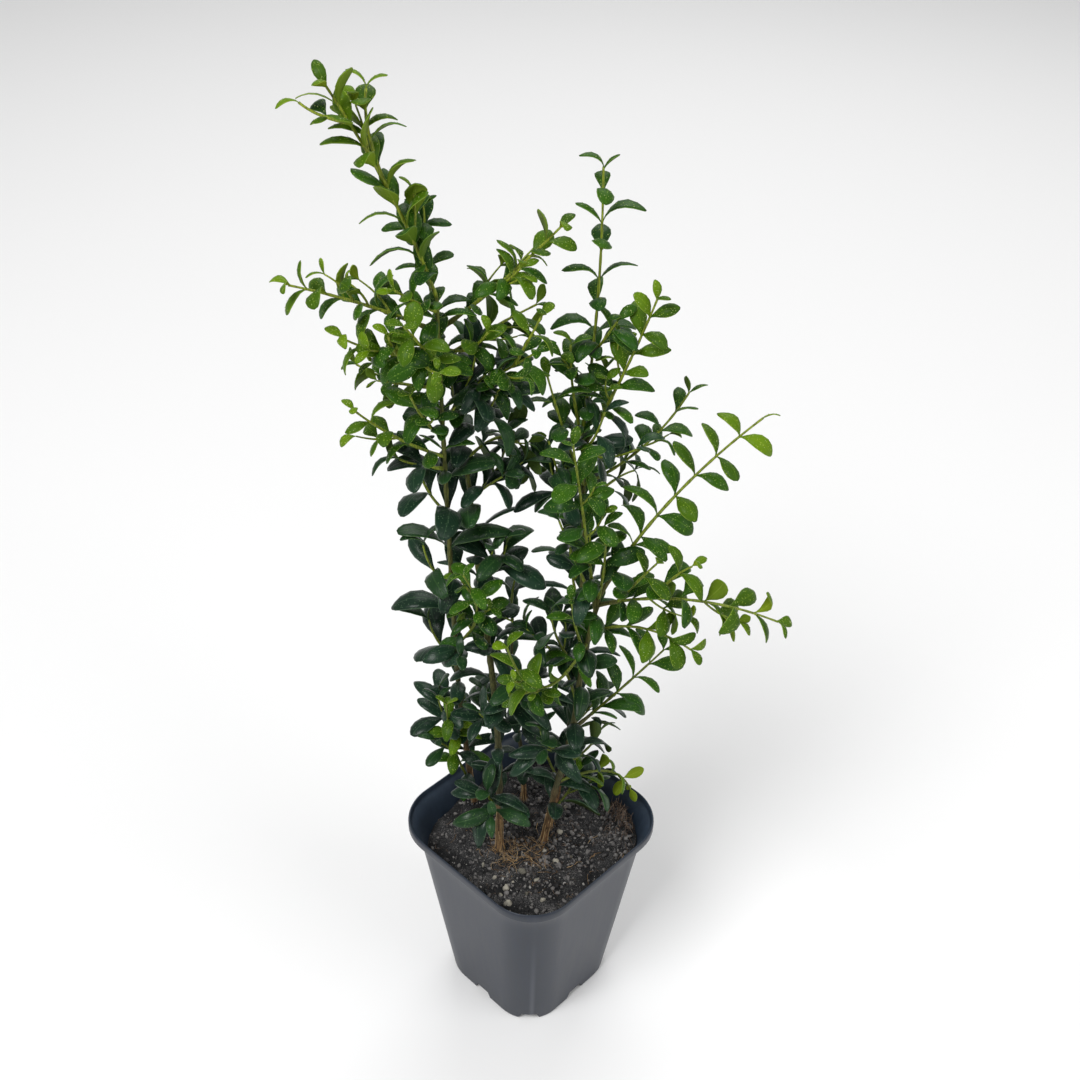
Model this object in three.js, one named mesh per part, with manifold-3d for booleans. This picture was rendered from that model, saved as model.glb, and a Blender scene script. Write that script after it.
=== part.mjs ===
import * as THREE from 'three';
import { mergeVertices } from 'three/addons/utils/BufferGeometryUtils.js';
import Module from 'manifold-3d';

// A young boxwood in a square nursery pot, in millimetres, +Z up.
// The origin is at the centre of the pot's flat underside, +X is the viewer's right, and the
// viewer stands towards -Y. The pot stands corner first, so its corners lie on the axes.

const wasm = await Module();
wasm.setup();

// Pot
const POT_HEIGHT = 100;
const POT_TURN = Math.PI / 4;
const BASE_SIDE = 61;
const BASE_CORNER = 17.6;
const SHOULDER_HEIGHT = 93;
const SHOULDER_SIDE = 82.6;
const SHOULDER_CORNER = 20;
const LIP_HEIGHT = 4.3;
const RIM_SIDE = 90;
const RIM_CORNER = 21.6;
const WALL = 1.2;
const FLOOR = 1.5;
const CORNER_STEPS = 4;
const NOTCH_WIDTH = 11;
const NOTCH_TOP_WIDTH = 7;
const NOTCH_HEIGHT = 4.5;
const NOTCH_REACH = 7;

// Soil
const SOIL_LEVEL = 87;
const SOIL_CROWN = 1.2;

// Corners closer than this become one
const WELD = 1e-3;
const SHORTEST_EDGE = 0.02;

// Clearances, so that neighbouring solids stay separate
const SEAT_GAP = 0.3;
const LEAF_GAP = 0.3;

// Limbs and twigs: radii, and how many sides and lengthwise steps a limb has
const LIMB_SIDES = 6;
const LIMB_STEP = 17;
const FOOT_DEPTH = 3;
const ROOT_FLARE = 0.3;
const FLARE_LENGTH = 7;
const BOUGH_RADIUS = 0.95;
const TWIG_SIDES = 3;
const TWIG_STEP = 13;
const TWIG_RADIUS = 0.85;
const TWIG_TIP_RADIUS = 0.5;
const SIDE_TWIG_RADIUS = 0.6;
const SIDE_TWIG_LENGTH = 15;
const SIDE_TWIG_PAIRS = 2;

// Leaves: shares of a leaf's own length, and the angles at which a pair opens
const LEAF_HALF_WIDTH = 0.29;
const LEAF_THICKNESS = 0.035;
const LEAF_DOME = 0.1;
const LEAF_DROOP = 0.14;
const LEAF_WIDEST = 0.54;
const LEAF_OPENING = 58;
const LEAF_SKYWARD = 0.55;
const LEAF_LENGTH_SPREAD = 0.12;
const LEAF_ANGLE_SPREAD = 12;
const BUD_OPENING = 30;
const BUD_LENGTH = 0.65;
const BLADE_START = 0.3;

// The five stems, each through a few points from its foot in the soil to its top.
const STEMS = {
  stem_left: {
    course: [[-26, 21], [-31, 16], [-33, 9], [-34, 1], [-35, -2]], top: 357, foot: 2.1, tip: 1.0,
  },
  stem_front: {
    course: [[-14, -8], [-15, -1], [-22, 11], [-29, 16], [-40, 10]], top: 368, foot: 2.5, tip: 1.0,
  },
  stem_right: {
    course: [[5, -4], [10, -5], [16, -7], [19, -8], [24, -10]], top: 235, foot: 2.4, tip: 1.5,
  },
  stem_rear: {
    course: [[8, 5], [15, 8], [18, 13], [19, 20], [17, 24]], top: 289, foot: 2.0, tip: 1.1,
  },
  stem_short: {
    course: [[-3, 22], [-4, 23], [-7, 24], [-9, 25], [-9, 26]], top: 192, foot: 1.7, tip: 0.9,
  },
};

// Long leafy shoots. Each leaves its carrier at a share of that carrier's length and bends by its
// knee to its tip. A shoot with a bough starts with a bare limb over that share of its length.
// Leaf lengths are given at the foot and at the tip, and side twigs by the shares they leave at.
const SHOOTS = [
  { name: 'crown_left', on: 'stem_left', at: 1, knee: [-45, -7, 394], tip: [-65, -14, 432],
    pairs: 11, leaf: [14, 11], age: 'young', twigs: [0.3, 0.62, 0.8] },
  { name: 'crown_front', on: 'stem_front', at: 1, knee: [-43, 11, 374], tip: [-45, 10, 382],
    pairs: 4, leaf: [15, 11], age: 'fresh', twigs: [0.1, 0.5] },
  { name: 'crown_right', on: 'stem_right', at: 1, knee: [42, -13, 283], tip: [76, -18, 321],
    pairs: 9, leaf: [17, 13], age: 'young', bough: 0.28, twigs: [0.62] },
  { name: 'crown_rear', on: 'stem_rear', at: 1, knee: [22, 22, 344], tip: [20, 20, 400],
    pairs: 9, leaf: [16, 11], age: 'fresh', twigs: [0.1] },
  { name: 'crown_short', on: 'stem_short', at: 1, knee: [-10, 27, 204], tip: [-8, 27, 214],
    pairs: 3, leaf: [17, 14], age: 'dark' },
  { name: 'left_high', on: 'stem_left', at: 0.95, knee: [-56, -6, 357], tip: [-82, -12, 366],
    pairs: 7, leaf: [13, 11], age: 'young', bough: 0.25, twigs: [0.45] },
  { name: 'left_upper', on: 'stem_left', at: 0.92, knee: [-50, -10, 337], tip: [-65, -18, 350],
    pairs: 5, leaf: [13, 11], age: 'young', twigs: [0.5] },
  { name: 'left_forward', on: 'stem_left', at: 0.885, knee: [-38, -14, 344], tip: [-44, -28, 360],
    pairs: 5, leaf: [13, 10], age: 'young' },
  { name: 'left_middle', on: 'stem_left', at: 0.87, knee: [-49, 5, 317], tip: [-65, 12, 323],
    pairs: 4, leaf: [14, 11], age: 'fresh' },
  { name: 'left_rising', on: 'stem_left', at: 0.79, knee: [-41, -8, 312], tip: [-44, -16, 327],
    pairs: 4, leaf: [13, 11], age: 'fresh' },
  { name: 'left_low', on: 'stem_left', at: 0.76, knee: [-51, -6, 302], tip: [-64, -12, 319],
    pairs: 5, leaf: [13, 10], age: 'young', twigs: [0.5] },
  { name: 'front_high', on: 'stem_front', at: 0.89, knee: [-13, 11, 355], tip: [6, 8, 378],
    pairs: 7, leaf: [14, 11], age: 'young', bough: 0.2, twigs: [0.4] },
  { name: 'front_back', on: 'stem_front', at: 0.85, knee: [-19, 22, 332], tip: [-5, 30, 337],
    pairs: 4, leaf: [16, 14], age: 'fresh', twigs: [0.35] },
  { name: 'front_reach', on: 'stem_front', at: 0.78, knee: [-16, 8, 321], tip: [-2, -2, 336],
    pairs: 5, leaf: [14, 12], age: 'fresh', twigs: [0.3, 0.6] },
  { name: 'front_arch', on: 'stem_front', at: 0.69, knee: [-9, 22, 298], tip: [-3, 26, 272],
    pairs: 4, leaf: [18, 15], age: 'dark' },
  { name: 'left_viewer', on: 'stem_left', at: 0.39, knee: [-16, -9, 223], tip: [-27, -25, 257],
    pairs: 7, leaf: [13, 12], age: 'fresh', twigs: [0.3] },
  { name: 'left_foot', on: 'stem_left', at: 0.06, knee: [-36, 8, 132], tip: [-36, -3, 168],
    pairs: 6, leaf: [14, 10], age: 'fresh' },
  { name: 'right_viewer', on: 'stem_right', at: 0.84, knee: [1, -30, 184], tip: [-11, -38, 234],
    pairs: 6, leaf: [14, 12], age: 'young', twigs: [0.4] },
  { name: 'right_inner', on: 'stem_right', at: 0.61, knee: [12, -3, 205], tip: [-12, 2, 214],
    pairs: 5, leaf: [16, 14], age: 'dark' },
  { name: 'right_rising', on: 'stem_right', at: 0.95, knee: [17, -17, 274], tip: [11, -26, 315],
    pairs: 8, leaf: [15, 12], age: 'fresh', bough: 0.2, twigs: [0.45] },
  { name: 'right_thin', on: 'stem_right', at: 0.8, knee: [14, -16, 225], tip: [13, -20, 242],
    pairs: 3, leaf: [11, 9], age: 'fresh' },
  { name: 'right_level', on: 'stem_right', at: 0.97, knee: [55, -20, 249], tip: [89, -30, 240],
    pairs: 8, leaf: [15, 12], age: 'young', bough: 0.14, twigs: [0.3, 0.55, 0.75] },
  { name: 'right_forward', on: 'stem_right', at: 0.87, knee: [38, -17, 233], tip: [58, -30, 226],
    pairs: 5, leaf: [14, 12], age: 'young' },
  { name: 'right_lower', on: 'stem_right', at: 0.51, knee: [36, -1, 178], tip: [53, 5, 195],
    pairs: 6, leaf: [15, 12], age: 'fresh', bough: 0.2, twigs: [0.5] },
  { name: 'right_foot', on: 'stem_right', at: 0.29, knee: [37, 4, 134], tip: [44, 8, 109],
    pairs: 5, leaf: [13, 9], age: 'fresh' },
  { name: 'rear_high', on: 'stem_rear', at: 0.96, knee: [31, 17, 315], tip: [40, 10, 351],
    pairs: 7, leaf: [14, 12], age: 'young', bough: 0.25, twigs: [0.5] },
  { name: 'rear_reach', on: 'stem_rear', at: 0.88, knee: [44, 26, 277], tip: [57, 30, 302],
    pairs: 6, leaf: [14, 12], age: 'fresh' },
  { name: 'rear_back', on: 'stem_rear', at: 0.83, knee: [30, 32, 260], tip: [40, 37, 258],
    pairs: 4, leaf: [16, 14], age: 'dark' },
];

// Short dark sprigs along the older wood. Each turns out from its stem by a compass angle, with
// 0 degrees at the viewer's right and 90 away from the viewer, and curves up to its tip.
const SPRIGS = [
  { on: 'stem_left', at: 0.2, turn: 215, out: 12, up: 22 },
  { on: 'stem_left', at: 0.36, turn: 175, out: 11, up: 20 },
  { on: 'stem_left', at: 0.52, turn: 200, out: 11, up: 22 },
  { on: 'stem_left', at: 0.66, turn: 165, out: 12, up: 24 },
  { on: 'stem_left', at: 0.82, turn: 20, out: 13, up: 26 },
  { on: 'stem_front', at: 0.12, turn: 250, out: 14, up: 17 },
  { on: 'stem_front', at: 0.3, turn: 320, out: 14, up: 22 },
  { on: 'stem_front', at: 0.5, turn: 330, out: 12, up: 22 },
  { on: 'stem_front', at: 0.63, turn: 20, out: 15, up: 24 },
  { on: 'stem_front', at: 0.76, turn: 345, out: 17, up: 26 },
  { on: 'stem_right', at: 0.16, turn: 30, out: 14, up: 20 },
  { on: 'stem_right', at: 0.42, turn: 215, out: 14, up: 20 },
  { on: 'stem_right', at: 0.74, turn: 170, out: 13, up: 26 },
  { on: 'stem_rear', at: 0.25, turn: 60, out: 14, up: 24 },
  { on: 'stem_rear', at: 0.6, turn: 110, out: 14, up: 24 },
  { on: 'stem_rear', at: 0.82, turn: 200, out: 15, up: 28 },
  { on: 'stem_short', at: 0.45, turn: 190, out: 14, up: 22 },
];
const SPRIG_PAIRS = 4;
const SPRIG_LEAF = [20, 17];
const SPRIG_TWIGS = [0.45];

const FINISH = {
  pot: { color: 0x55595f, roughness: 0.5, metalness: 0 },
  soil: { color: 0x2b2320, roughness: 1, metalness: 0 },
  bark: { color: 0x7d7238, roughness: 0.75, metalness: 0 },
  young: { color: 0x4f9420, roughness: 0.4, metalness: 0 },
  fresh: { color: 0x2c6b22, roughness: 0.38, metalness: 0 },
  dark: { color: 0x1a3a22, roughness: 0.32, metalness: 0 },
};

const DEGREE = Math.PI / 180;
const UP = new THREE.Vector3(0, 0, 1);

// Repeatable number from 0 to 1 for a pair of whole numbers.
function chance(first, second) {
  const wave = Math.sin(first * 12.9898 + second * 78.233) * 43758.5453;
  return wave - Math.floor(wave);
}

function spread(first, second) {
  return 2 * chance(first, second) - 1;
}

function weld(geometry) {
  const bare = geometry.clone();
  bare.deleteAttribute('normal');
  bare.deleteAttribute('uv');
  return mergeVertices(bare, WELD);
}

function toSolid(geometry) {
  const welded = weld(geometry);
  const mesh = new wasm.Mesh({
    numProp: 3,
    vertProperties: new Float32Array(welded.attributes.position.array),
    triVerts: new Uint32Array(welded.index.array),
  });
  return new wasm.Manifold(mesh);
}

function toGeometry(solid) {
  const mesh = solid.getMesh();
  const geometry = new THREE.BufferGeometry();
  geometry.setAttribute('position', new THREE.BufferAttribute(mesh.vertProperties, 3));
  geometry.setIndex(new THREE.BufferAttribute(mesh.triVerts, 1));
  geometry.computeVertexNormals();
  return geometry;
}

// The largest closed body of a union, without loose scraps or sealed hollows.
function mainBody(solid) {
  const parts = solid.decompose();
  return parts.reduce((best, part) => (part.volume() > best.volume() ? part : best));
}

// One body fused from many solids. Its shortest edges are closed up, and what that frees is dropped.
function fuse(solids) {
  const joined = mainBody(wasm.Manifold.union(solids)).simplify(SHORTEST_EDGE);
  return mainBody(toSolid(toGeometry(mainBody(joined))));
}

// Whether every edge of the welded surface lies between exactly two faces.
function isWellJoined(solid) {
  const corners = weld(toGeometry(solid)).index.array;
  const uses = new Map();
  for (let i = 0; i < corners.length; i += 1) {
    const next = i % 3 === 2 ? i - 2 : i + 1;
    const edge = [corners[i], corners[next]].sort((a, b) => a - b).join();
    uses.set(edge, (uses.get(edge) ?? 0) + 1);
  }
  return [...uses.values()].every((count) => count === 2);
}

// A mass fused from its twigs and leaves. Where two leaves meet in a bare corner, one is left out.
function fuseMass({ twigs, leaves }) {
  const whole = fuse([...twigs, ...leaves]);
  if (isWellJoined(whole)) return whole;
  const without = leaves.map((one) => fuse([...twigs, ...leaves.filter((other) => other !== one)]));
  return without.find(isWellJoined) ?? whole;
}

const plant = new THREE.Group();

function addNode(name, solid, finish) {
  const mesh = new THREE.Mesh(toGeometry(solid), new THREE.MeshStandardMaterial(FINISH[finish]));
  mesh.name = name;
  plant.add(mesh);
}

// A square with rounded corners at one height, turned so that a corner faces the viewer.
function squareRing(side, corner, height) {
  const points = [];
  for (let quarter = 0; quarter < 4; quarter += 1) {
    const facing = quarter * 90 * DEGREE + POT_TURN;
    const centre = (side / 2 - corner) * Math.SQRT2;
    for (let step = 0; step <= CORNER_STEPS; step += 1) {
      const angle = facing + (step / CORNER_STEPS - 0.5) * 90 * DEGREE;
      points.push(new THREE.Vector3(
        centre * Math.cos(facing) + corner * Math.cos(angle),
        centre * Math.sin(facing) + corner * Math.sin(angle),
        height,
      ).applyAxisAngle(UP, POT_TURN));
    }
  }
  return points;
}

// A closed tub through a stack of square rings, with flat ends.
function tub(levels) {
  const rings = levels.map(([side, corner, height]) => squareRing(side, corner, height));
  const count = rings[0].length;
  const positions = [];
  const faces = [];
  rings.flat().forEach((point) => positions.push(...point.toArray()));
  positions.push(0, 0, levels[0][2], 0, 0, levels.at(-1)[2]);
  const bottom = rings.length * count;
  const lastRing = (rings.length - 1) * count;
  for (let i = 0; i < count; i += 1) {
    const next = (i + 1) % count;
    faces.push(bottom, next, i, bottom + 1, lastRing + i, lastRing + next);
    for (let level = 0; level < lastRing; level += count) {
      faces.push(level + i, level + next, level + count + next);
      faces.push(level + i, level + count + next, level + count + i);
    }
  }
  const geometry = new THREE.BufferGeometry();
  geometry.setAttribute('position', new THREE.Float32BufferAttribute(positions, 3));
  geometry.setIndex(faces);
  return geometry;
}

// Side and corner radius of the tapering wall at one height, drawn in by an inset.
function wallLevel(height, inset) {
  const share = height / SHOULDER_HEIGHT;
  const side = THREE.MathUtils.lerp(BASE_SIDE, SHOULDER_SIDE, share) - 2 * inset;
  const corner = THREE.MathUtils.lerp(BASE_CORNER, SHOULDER_CORNER, share) - inset;
  return [side, corner, height];
}

function makePot() {
  const lipFoot = POT_HEIGHT - LIP_HEIGHT;
  const outside = tub([
    wallLevel(0, 0),
    wallLevel(SHOULDER_HEIGHT, 0),
    [RIM_SIDE, RIM_CORNER, lipFoot],
    [RIM_SIDE, RIM_CORNER, POT_HEIGHT],
  ]);
  const inside = tub([
    wallLevel(FLOOR, WALL),
    wallLevel(SHOULDER_HEIGHT + WALL, WALL),
    [RIM_SIDE - 2 * WALL, RIM_CORNER - WALL, lipFoot + WALL],
    [RIM_SIDE - 2 * WALL, RIM_CORNER - WALL, POT_HEIGHT + 1],
  ]);
  const outline = new THREE.Shape([
    new THREE.Vector2(-NOTCH_WIDTH / 2, -1),
    new THREE.Vector2(NOTCH_WIDTH / 2, -1),
    new THREE.Vector2(NOTCH_TOP_WIDTH / 2, NOTCH_HEIGHT),
    new THREE.Vector2(-NOTCH_TOP_WIDTH / 2, NOTCH_HEIGHT),
  ]);
  const cutter = new THREE.ExtrudeGeometry(outline, { depth: 2 * NOTCH_REACH, bevelEnabled: false });
  cutter.rotateX(90 * DEGREE);
  cutter.rotateZ(90 * DEGREE);
  let pot = toSolid(outside).subtract(toSolid(inside));
  const sideDistance = BASE_SIDE / 2 - NOTCH_REACH;
  const cornerDistance = BASE_SIDE / Math.SQRT2 - BASE_CORNER * (Math.SQRT2 - 1) - NOTCH_REACH;
  for (let eighth = 0; eighth < 8; eighth += 1) {
    const distance = eighth % 2 === 0 ? cornerDistance : sideDistance;
    const notch = cutter.clone().translate(distance, 0, 0).rotateZ(eighth * 45 * DEGREE);
    pot = pot.subtract(toSolid(notch));
  }
  addNode('pot', pot, 'pot');
}

function makeSoil() {
  const inset = WALL + SEAT_GAP;
  const crown = wallLevel(SOIL_LEVEL, inset + 6);
  crown[2] = SOIL_LEVEL;
  const soil = toSolid(tub([
    wallLevel(FLOOR + SEAT_GAP, inset),
    wallLevel(SOIL_LEVEL - SOIL_CROWN, inset),
    crown,
  ]));
  addNode('soil', soil, 'soil');
}

// A tapering limb of flat-sided section carried along a curve between two shares of its length.
function limb(curve, from, to, radiusAt, sides, stepLength) {
  const reach = curve.getLength() * (to - from);
  const steps = Math.max(2, Math.round(reach / stepLength));
  const geometry = new THREE.CylinderGeometry(1, 1, 1, sides, steps);
  const rings = [];
  let normal = Math.abs(curve.getTangent(from).z) > 0.7
    ? new THREE.Vector3(1, 0, 0) : UP.clone();
  for (let step = 0; step <= steps; step += 1) {
    const share = THREE.MathUtils.lerp(from, to, step / steps);
    const tangent = curve.getTangent(share);
    normal = normal.clone().addScaledVector(tangent, -normal.dot(tangent)).normalize();
    const across = normal.clone().cross(tangent);
    rings.push({ centre: curve.getPoint(share), normal, across, radius: radiusAt(share) });
  }
  const position = geometry.attributes.position;
  for (let i = 0; i < position.count; i += 1) {
    const ring = rings[Math.round((position.getY(i) + 0.5) * steps)];
    const place = ring.centre.clone();
    place.addScaledVector(ring.normal, position.getX(i) * ring.radius);
    place.addScaledVector(ring.across, position.getZ(i) * ring.radius);
    position.setXYZ(i, place.x, place.y, place.z);
  }
  return toSolid(geometry);
}

// A domed leaf of eight faces, from its root at `root` along `along`, with its face to `facing`.
function leaf(root, along, facing, length) {
  const across = facing.clone().cross(along).normalize();
  const face = along.clone().cross(across);
  const geometry = new THREE.OctahedronGeometry(1, 0);
  const position = geometry.attributes.position;
  for (let i = 0; i < position.count; i += 1) {
    const end = position.getX(i);
    const side = position.getY(i);
    const rise = position.getZ(i);
    const reach = Math.abs(end) < 0.5 ? LEAF_WIDEST : (end + 1) / 2;
    const middle = rise === 0 ? -LEAF_DROOP * Math.max(0, end) : LEAF_DOME;
    const place = root.clone();
    place.addScaledVector(along, reach * length);
    place.addScaledVector(across, side * LEAF_HALF_WIDTH * length);
    place.addScaledVector(face, (middle + rise * LEAF_THICKNESS / 2) * length);
    position.setXYZ(i, place.x, place.y, place.z);
  }
  return toSolid(geometry);
}

function stemCurve({ course, top }) {
  const points = course.map(([x, y], i) => new THREE.Vector3(
    x, y, THREE.MathUtils.lerp(SOIL_LEVEL - FOOT_DEPTH, top, i / (course.length - 1)),
  ));
  return new THREE.CatmullRomCurve3(points, false, 'catmullrom', 0.5);
}

// Everything placed so far that a later twig or leaf has to stay clear of.
const placed = [];

function boxesMeet(a, b, gap) {
  return [0, 1, 2].every((axis) => a.min[axis] - gap < b.max[axis] && b.min[axis] - gap < a.max[axis]);
}

function isClear(solid, owner, gap) {
  const box = solid.boundingBox();
  return placed.every((other) => other.owner === owner
    || !boxesMeet(box, other.box, gap)
    || other.solid.minGap(solid, gap * 2) >= gap);
}

// A leaf may touch its own twig near its root, and its blade nothing at all.
function leafFits(solid, blade, owner) {
  return isClear(solid, owner, LEAF_GAP) && isClear(blade, null, LEAF_GAP);
}

function place(solid, owner) {
  placed.push({ solid, owner, box: solid.boundingBox() });
}

// Each stem runs on below the soil and is cut off flat just above it.
function makeStems() {
  const curves = {};
  const ground = new THREE.BoxGeometry(RIM_SIDE, RIM_SIDE, POT_HEIGHT);
  ground.translate(0, 0, SOIL_LEVEL + SEAT_GAP - POT_HEIGHT / 2);
  Object.entries(STEMS).forEach(([name, stem]) => {
    const curve = stemCurve(stem);
    const rootFlare = (share) => {
      const height = share * curve.getLength() - FOOT_DEPTH;
      return ROOT_FLARE * Math.min(1, Math.exp(-height / FLARE_LENGTH));
    };
    const radiusAt = (share) => THREE.MathUtils.lerp(stem.foot, stem.tip, share) * (1 + rootFlare(share));
    const solid = limb(curve, 0, 1, radiusAt, LIMB_SIDES, LIMB_STEP).subtract(toSolid(ground));
    curves[name] = curve;
    place(solid, name);
    addNode(name, solid, 'bark');
  });
  return curves;
}

// The first share of a curve at which a limb along it stands clear of all that is placed.
function clearStart(makeLimb, owner) {
  let share = 0;
  while (share < 0.5 && !isClear(makeLimb(share), owner, SEAT_GAP)) {
    share += 0.004;
  }
  return share;
}

// Leaves stand in opposite pairs, each pair turned a quarter from the one before it.
function leafPairs(curve, from, pairs, lengths, seed) {
  const leaves = [];
  const first = curve.getTangent(from);
  let side = first.clone().cross(Math.abs(first.z) > 0.9 ? new THREE.Vector3(1, 0, 0) : UP).normalize();
  for (let pair = 0; pair < pairs; pair += 1) {
    const share = THREE.MathUtils.lerp(from, 0.985, (pair + 0.45) / (pairs - 0.55));
    const tangent = curve.getTangent(Math.min(share, 0.985));
    side.addScaledVector(tangent, -side.dot(tangent)).normalize();
    const turned = side.clone().applyAxisAngle(tangent, (pair % 2) * 90 * DEGREE);
    const isLast = pair === pairs - 1;
    const opening = isLast ? BUD_OPENING : LEAF_OPENING;
    const length = THREE.MathUtils.lerp(lengths[0], lengths[1], share) * (isLast ? BUD_LENGTH : 1);
    [1, -1].forEach((half) => {
      const key = seed + pair * 2 + (half + 1) / 2;
      leaves.push({
        root: curve.getPoint(Math.min(share, 0.985)),
        tangent,
        side: turned.clone().multiplyScalar(half),
        opening: opening + LEAF_ANGLE_SPREAD * spread(key, 1),
        roll: LEAF_ANGLE_SPREAD * spread(key, 2),
        length: length * (1 + LEAF_LENGTH_SPREAD * spread(key, 3)),
      });
    });
  }
  return leaves;
}

// The leaf and its outer blade for one place on a twig, swung open by some more degrees and scaled.
function standLeaf({ root, tangent, side, opening, roll, length }, swing, scale) {
  const angle = (opening + swing) * DEGREE;
  const along = tangent.clone().multiplyScalar(Math.cos(angle)).addScaledVector(side, Math.sin(angle));
  const facing = tangent.clone().multiplyScalar(Math.sin(angle)).addScaledVector(side, -Math.cos(angle));
  facing.addScaledVector(UP, LEAF_SKYWARD).applyAxisAngle(along, roll * DEGREE);
  const bladeRoot = root.clone().addScaledVector(along, length * scale * BLADE_START);
  return [
    leaf(root, along, facing, length * scale),
    leaf(bladeRoot, along, facing, length * scale * (1 - BLADE_START)),
  ];
}

const LEAF_TRIES = [[0, 1], [14, 1], [-14, 1], [-26, 0.9], [26, 0.9], [0, 0.75]];

function growLeaves(mass) {
  mass.spots.forEach((spot) => {
    for (const [swing, scale] of LEAF_TRIES) {
      const [solid, blade] = standLeaf(spot, swing, scale);
      if (leafFits(solid, blade, mass.name)) {
        place(solid, mass.name);
        mass.leaves.push(solid);
        return;
      }
    }
  });
}

// A side twig leaves its shoot at an angle and curves up along with it.
function sideTwigCurve(curve, share, seed) {
  const tangent = curve.getTangent(share);
  const root = curve.getPoint(share);
  const level = tangent.clone().cross(UP).normalize();
  const side = level.applyAxisAngle(tangent, chance(seed, 4) * 360 * DEGREE);
  const knee = root.clone().addScaledVector(side, SIDE_TWIG_LENGTH * 0.35)
    .addScaledVector(tangent, SIDE_TWIG_LENGTH * 0.3);
  const tip = root.clone().addScaledVector(side, SIDE_TWIG_LENGTH * 0.5)
    .addScaledVector(tangent, SIDE_TWIG_LENGTH * 0.85);
  return new THREE.QuadraticBezierCurve3(root, knee, tip);
}

// The twigs of one mass of foliage, and the places of its leaves.
function growTwigs(shoot, number, curves) {
  const seed = number * 100;
  const base = curves[shoot.on].getPoint(shoot.at);
  const curve = new THREE.QuadraticBezierCurve3(
    base, new THREE.Vector3(...shoot.knee), new THREE.Vector3(...shoot.tip),
  );
  let from = 0;
  if (shoot.bough) {
    const boughRadius = (share) => THREE.MathUtils.lerp(BOUGH_RADIUS, TWIG_RADIUS, share / shoot.bough);
    const makeBough = (start) => limb(curve, start, shoot.bough, boughRadius, LIMB_SIDES, LIMB_STEP / 2);
    const start = clearStart(makeBough, shoot.name);
    const bough = makeBough(start);
    const boughName = `bough_${shoot.name}`;
    place(bough, boughName);
    addNode(boughName, bough, 'bark');
    from = shoot.bough;
  }
  const radiusAt = (share) => THREE.MathUtils.lerp(TWIG_RADIUS, TWIG_TIP_RADIUS, share);
  const makeStem = (start) => limb(curve, from + start, 1, radiusAt, TWIG_SIDES, TWIG_STEP);
  const clearance = clearStart(makeStem, shoot.name);
  const start = from + clearance;
  const stem = makeStem(clearance);
  place(stem, shoot.name);
  const mass = { name: shoot.name, age: shoot.age, twigs: [stem], leaves: [] };
  mass.spots = leafPairs(curve, start, shoot.pairs, shoot.leaf, seed);
  (shoot.twigs ?? []).forEach((share, i) => {
    const twigCurve = sideTwigCurve(curve, Math.max(share, start + 0.05), seed + i * 10);
    const twigRadius = (along) => THREE.MathUtils.lerp(SIDE_TWIG_RADIUS, TWIG_TIP_RADIUS, along);
    const twig = limb(twigCurve, 0, 1, twigRadius, TWIG_SIDES, TWIG_STEP);
    if (isClear(twig, shoot.name, SEAT_GAP)) {
      place(twig, shoot.name);
      mass.twigs.push(twig);
      const smaller = shoot.leaf.map((length) => length * 0.9);
      mass.spots.push(...leafPairs(twigCurve, 0.2, SIDE_TWIG_PAIRS, smaller, seed + 50 + i * 10));
    }
  });
  return mass;
}

// A sprig is written out as a shoot, from its compass turn and its rise.
function sprigAsShoot({ on, at, turn, out, up }, index, curves) {
  const base = curves[on].getPoint(at);
  const heading = new THREE.Vector3(Math.cos(turn * DEGREE), Math.sin(turn * DEGREE), 0);
  const knee = base.clone().addScaledVector(heading, out * 0.8).addScaledVector(UP, up * 0.3);
  const tip = base.clone().addScaledVector(heading, out).addScaledVector(UP, up);
  return {
    name: `sprig_${index + 1}`, on, at, knee: knee.toArray(), tip: tip.toArray(),
    pairs: SPRIG_PAIRS, leaf: SPRIG_LEAF, age: 'dark', twigs: SPRIG_TWIGS,
  };
}

makePot();
makeSoil();
place(toSolid(tub([wallLevel(0, 0), [RIM_SIDE, RIM_CORNER, POT_HEIGHT]])), 'pot');
const curves = makeStems();
const shoots = [...SHOOTS, ...SPRIGS.map((sprig, i) => sprigAsShoot(sprig, i, curves))];
const masses = shoots.map((shoot, number) => growTwigs(shoot, number + 1, curves));
masses.forEach(growLeaves);
masses.forEach((mass) => addNode(mass.name, fuseMass(mass), mass.age));

export default plant;
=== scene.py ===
"""The looks of the potted boxwood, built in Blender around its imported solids.

Every length below is in millimetres in the part's own frame, unless a name says otherwise: the
origin is the middle of the pot's underside, +X is the viewer's right, the viewer stands towards
-Y, and +Z is up. Meshes are scaled to metres as they are made.
"""

from __future__ import annotations

import logging
import math
from collections.abc import Callable
from dataclasses import dataclass, field
from enum import Enum, IntEnum
from functools import partial
from typing import Self

import bpy
import numpy as np
from mathutils import Matrix

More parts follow.
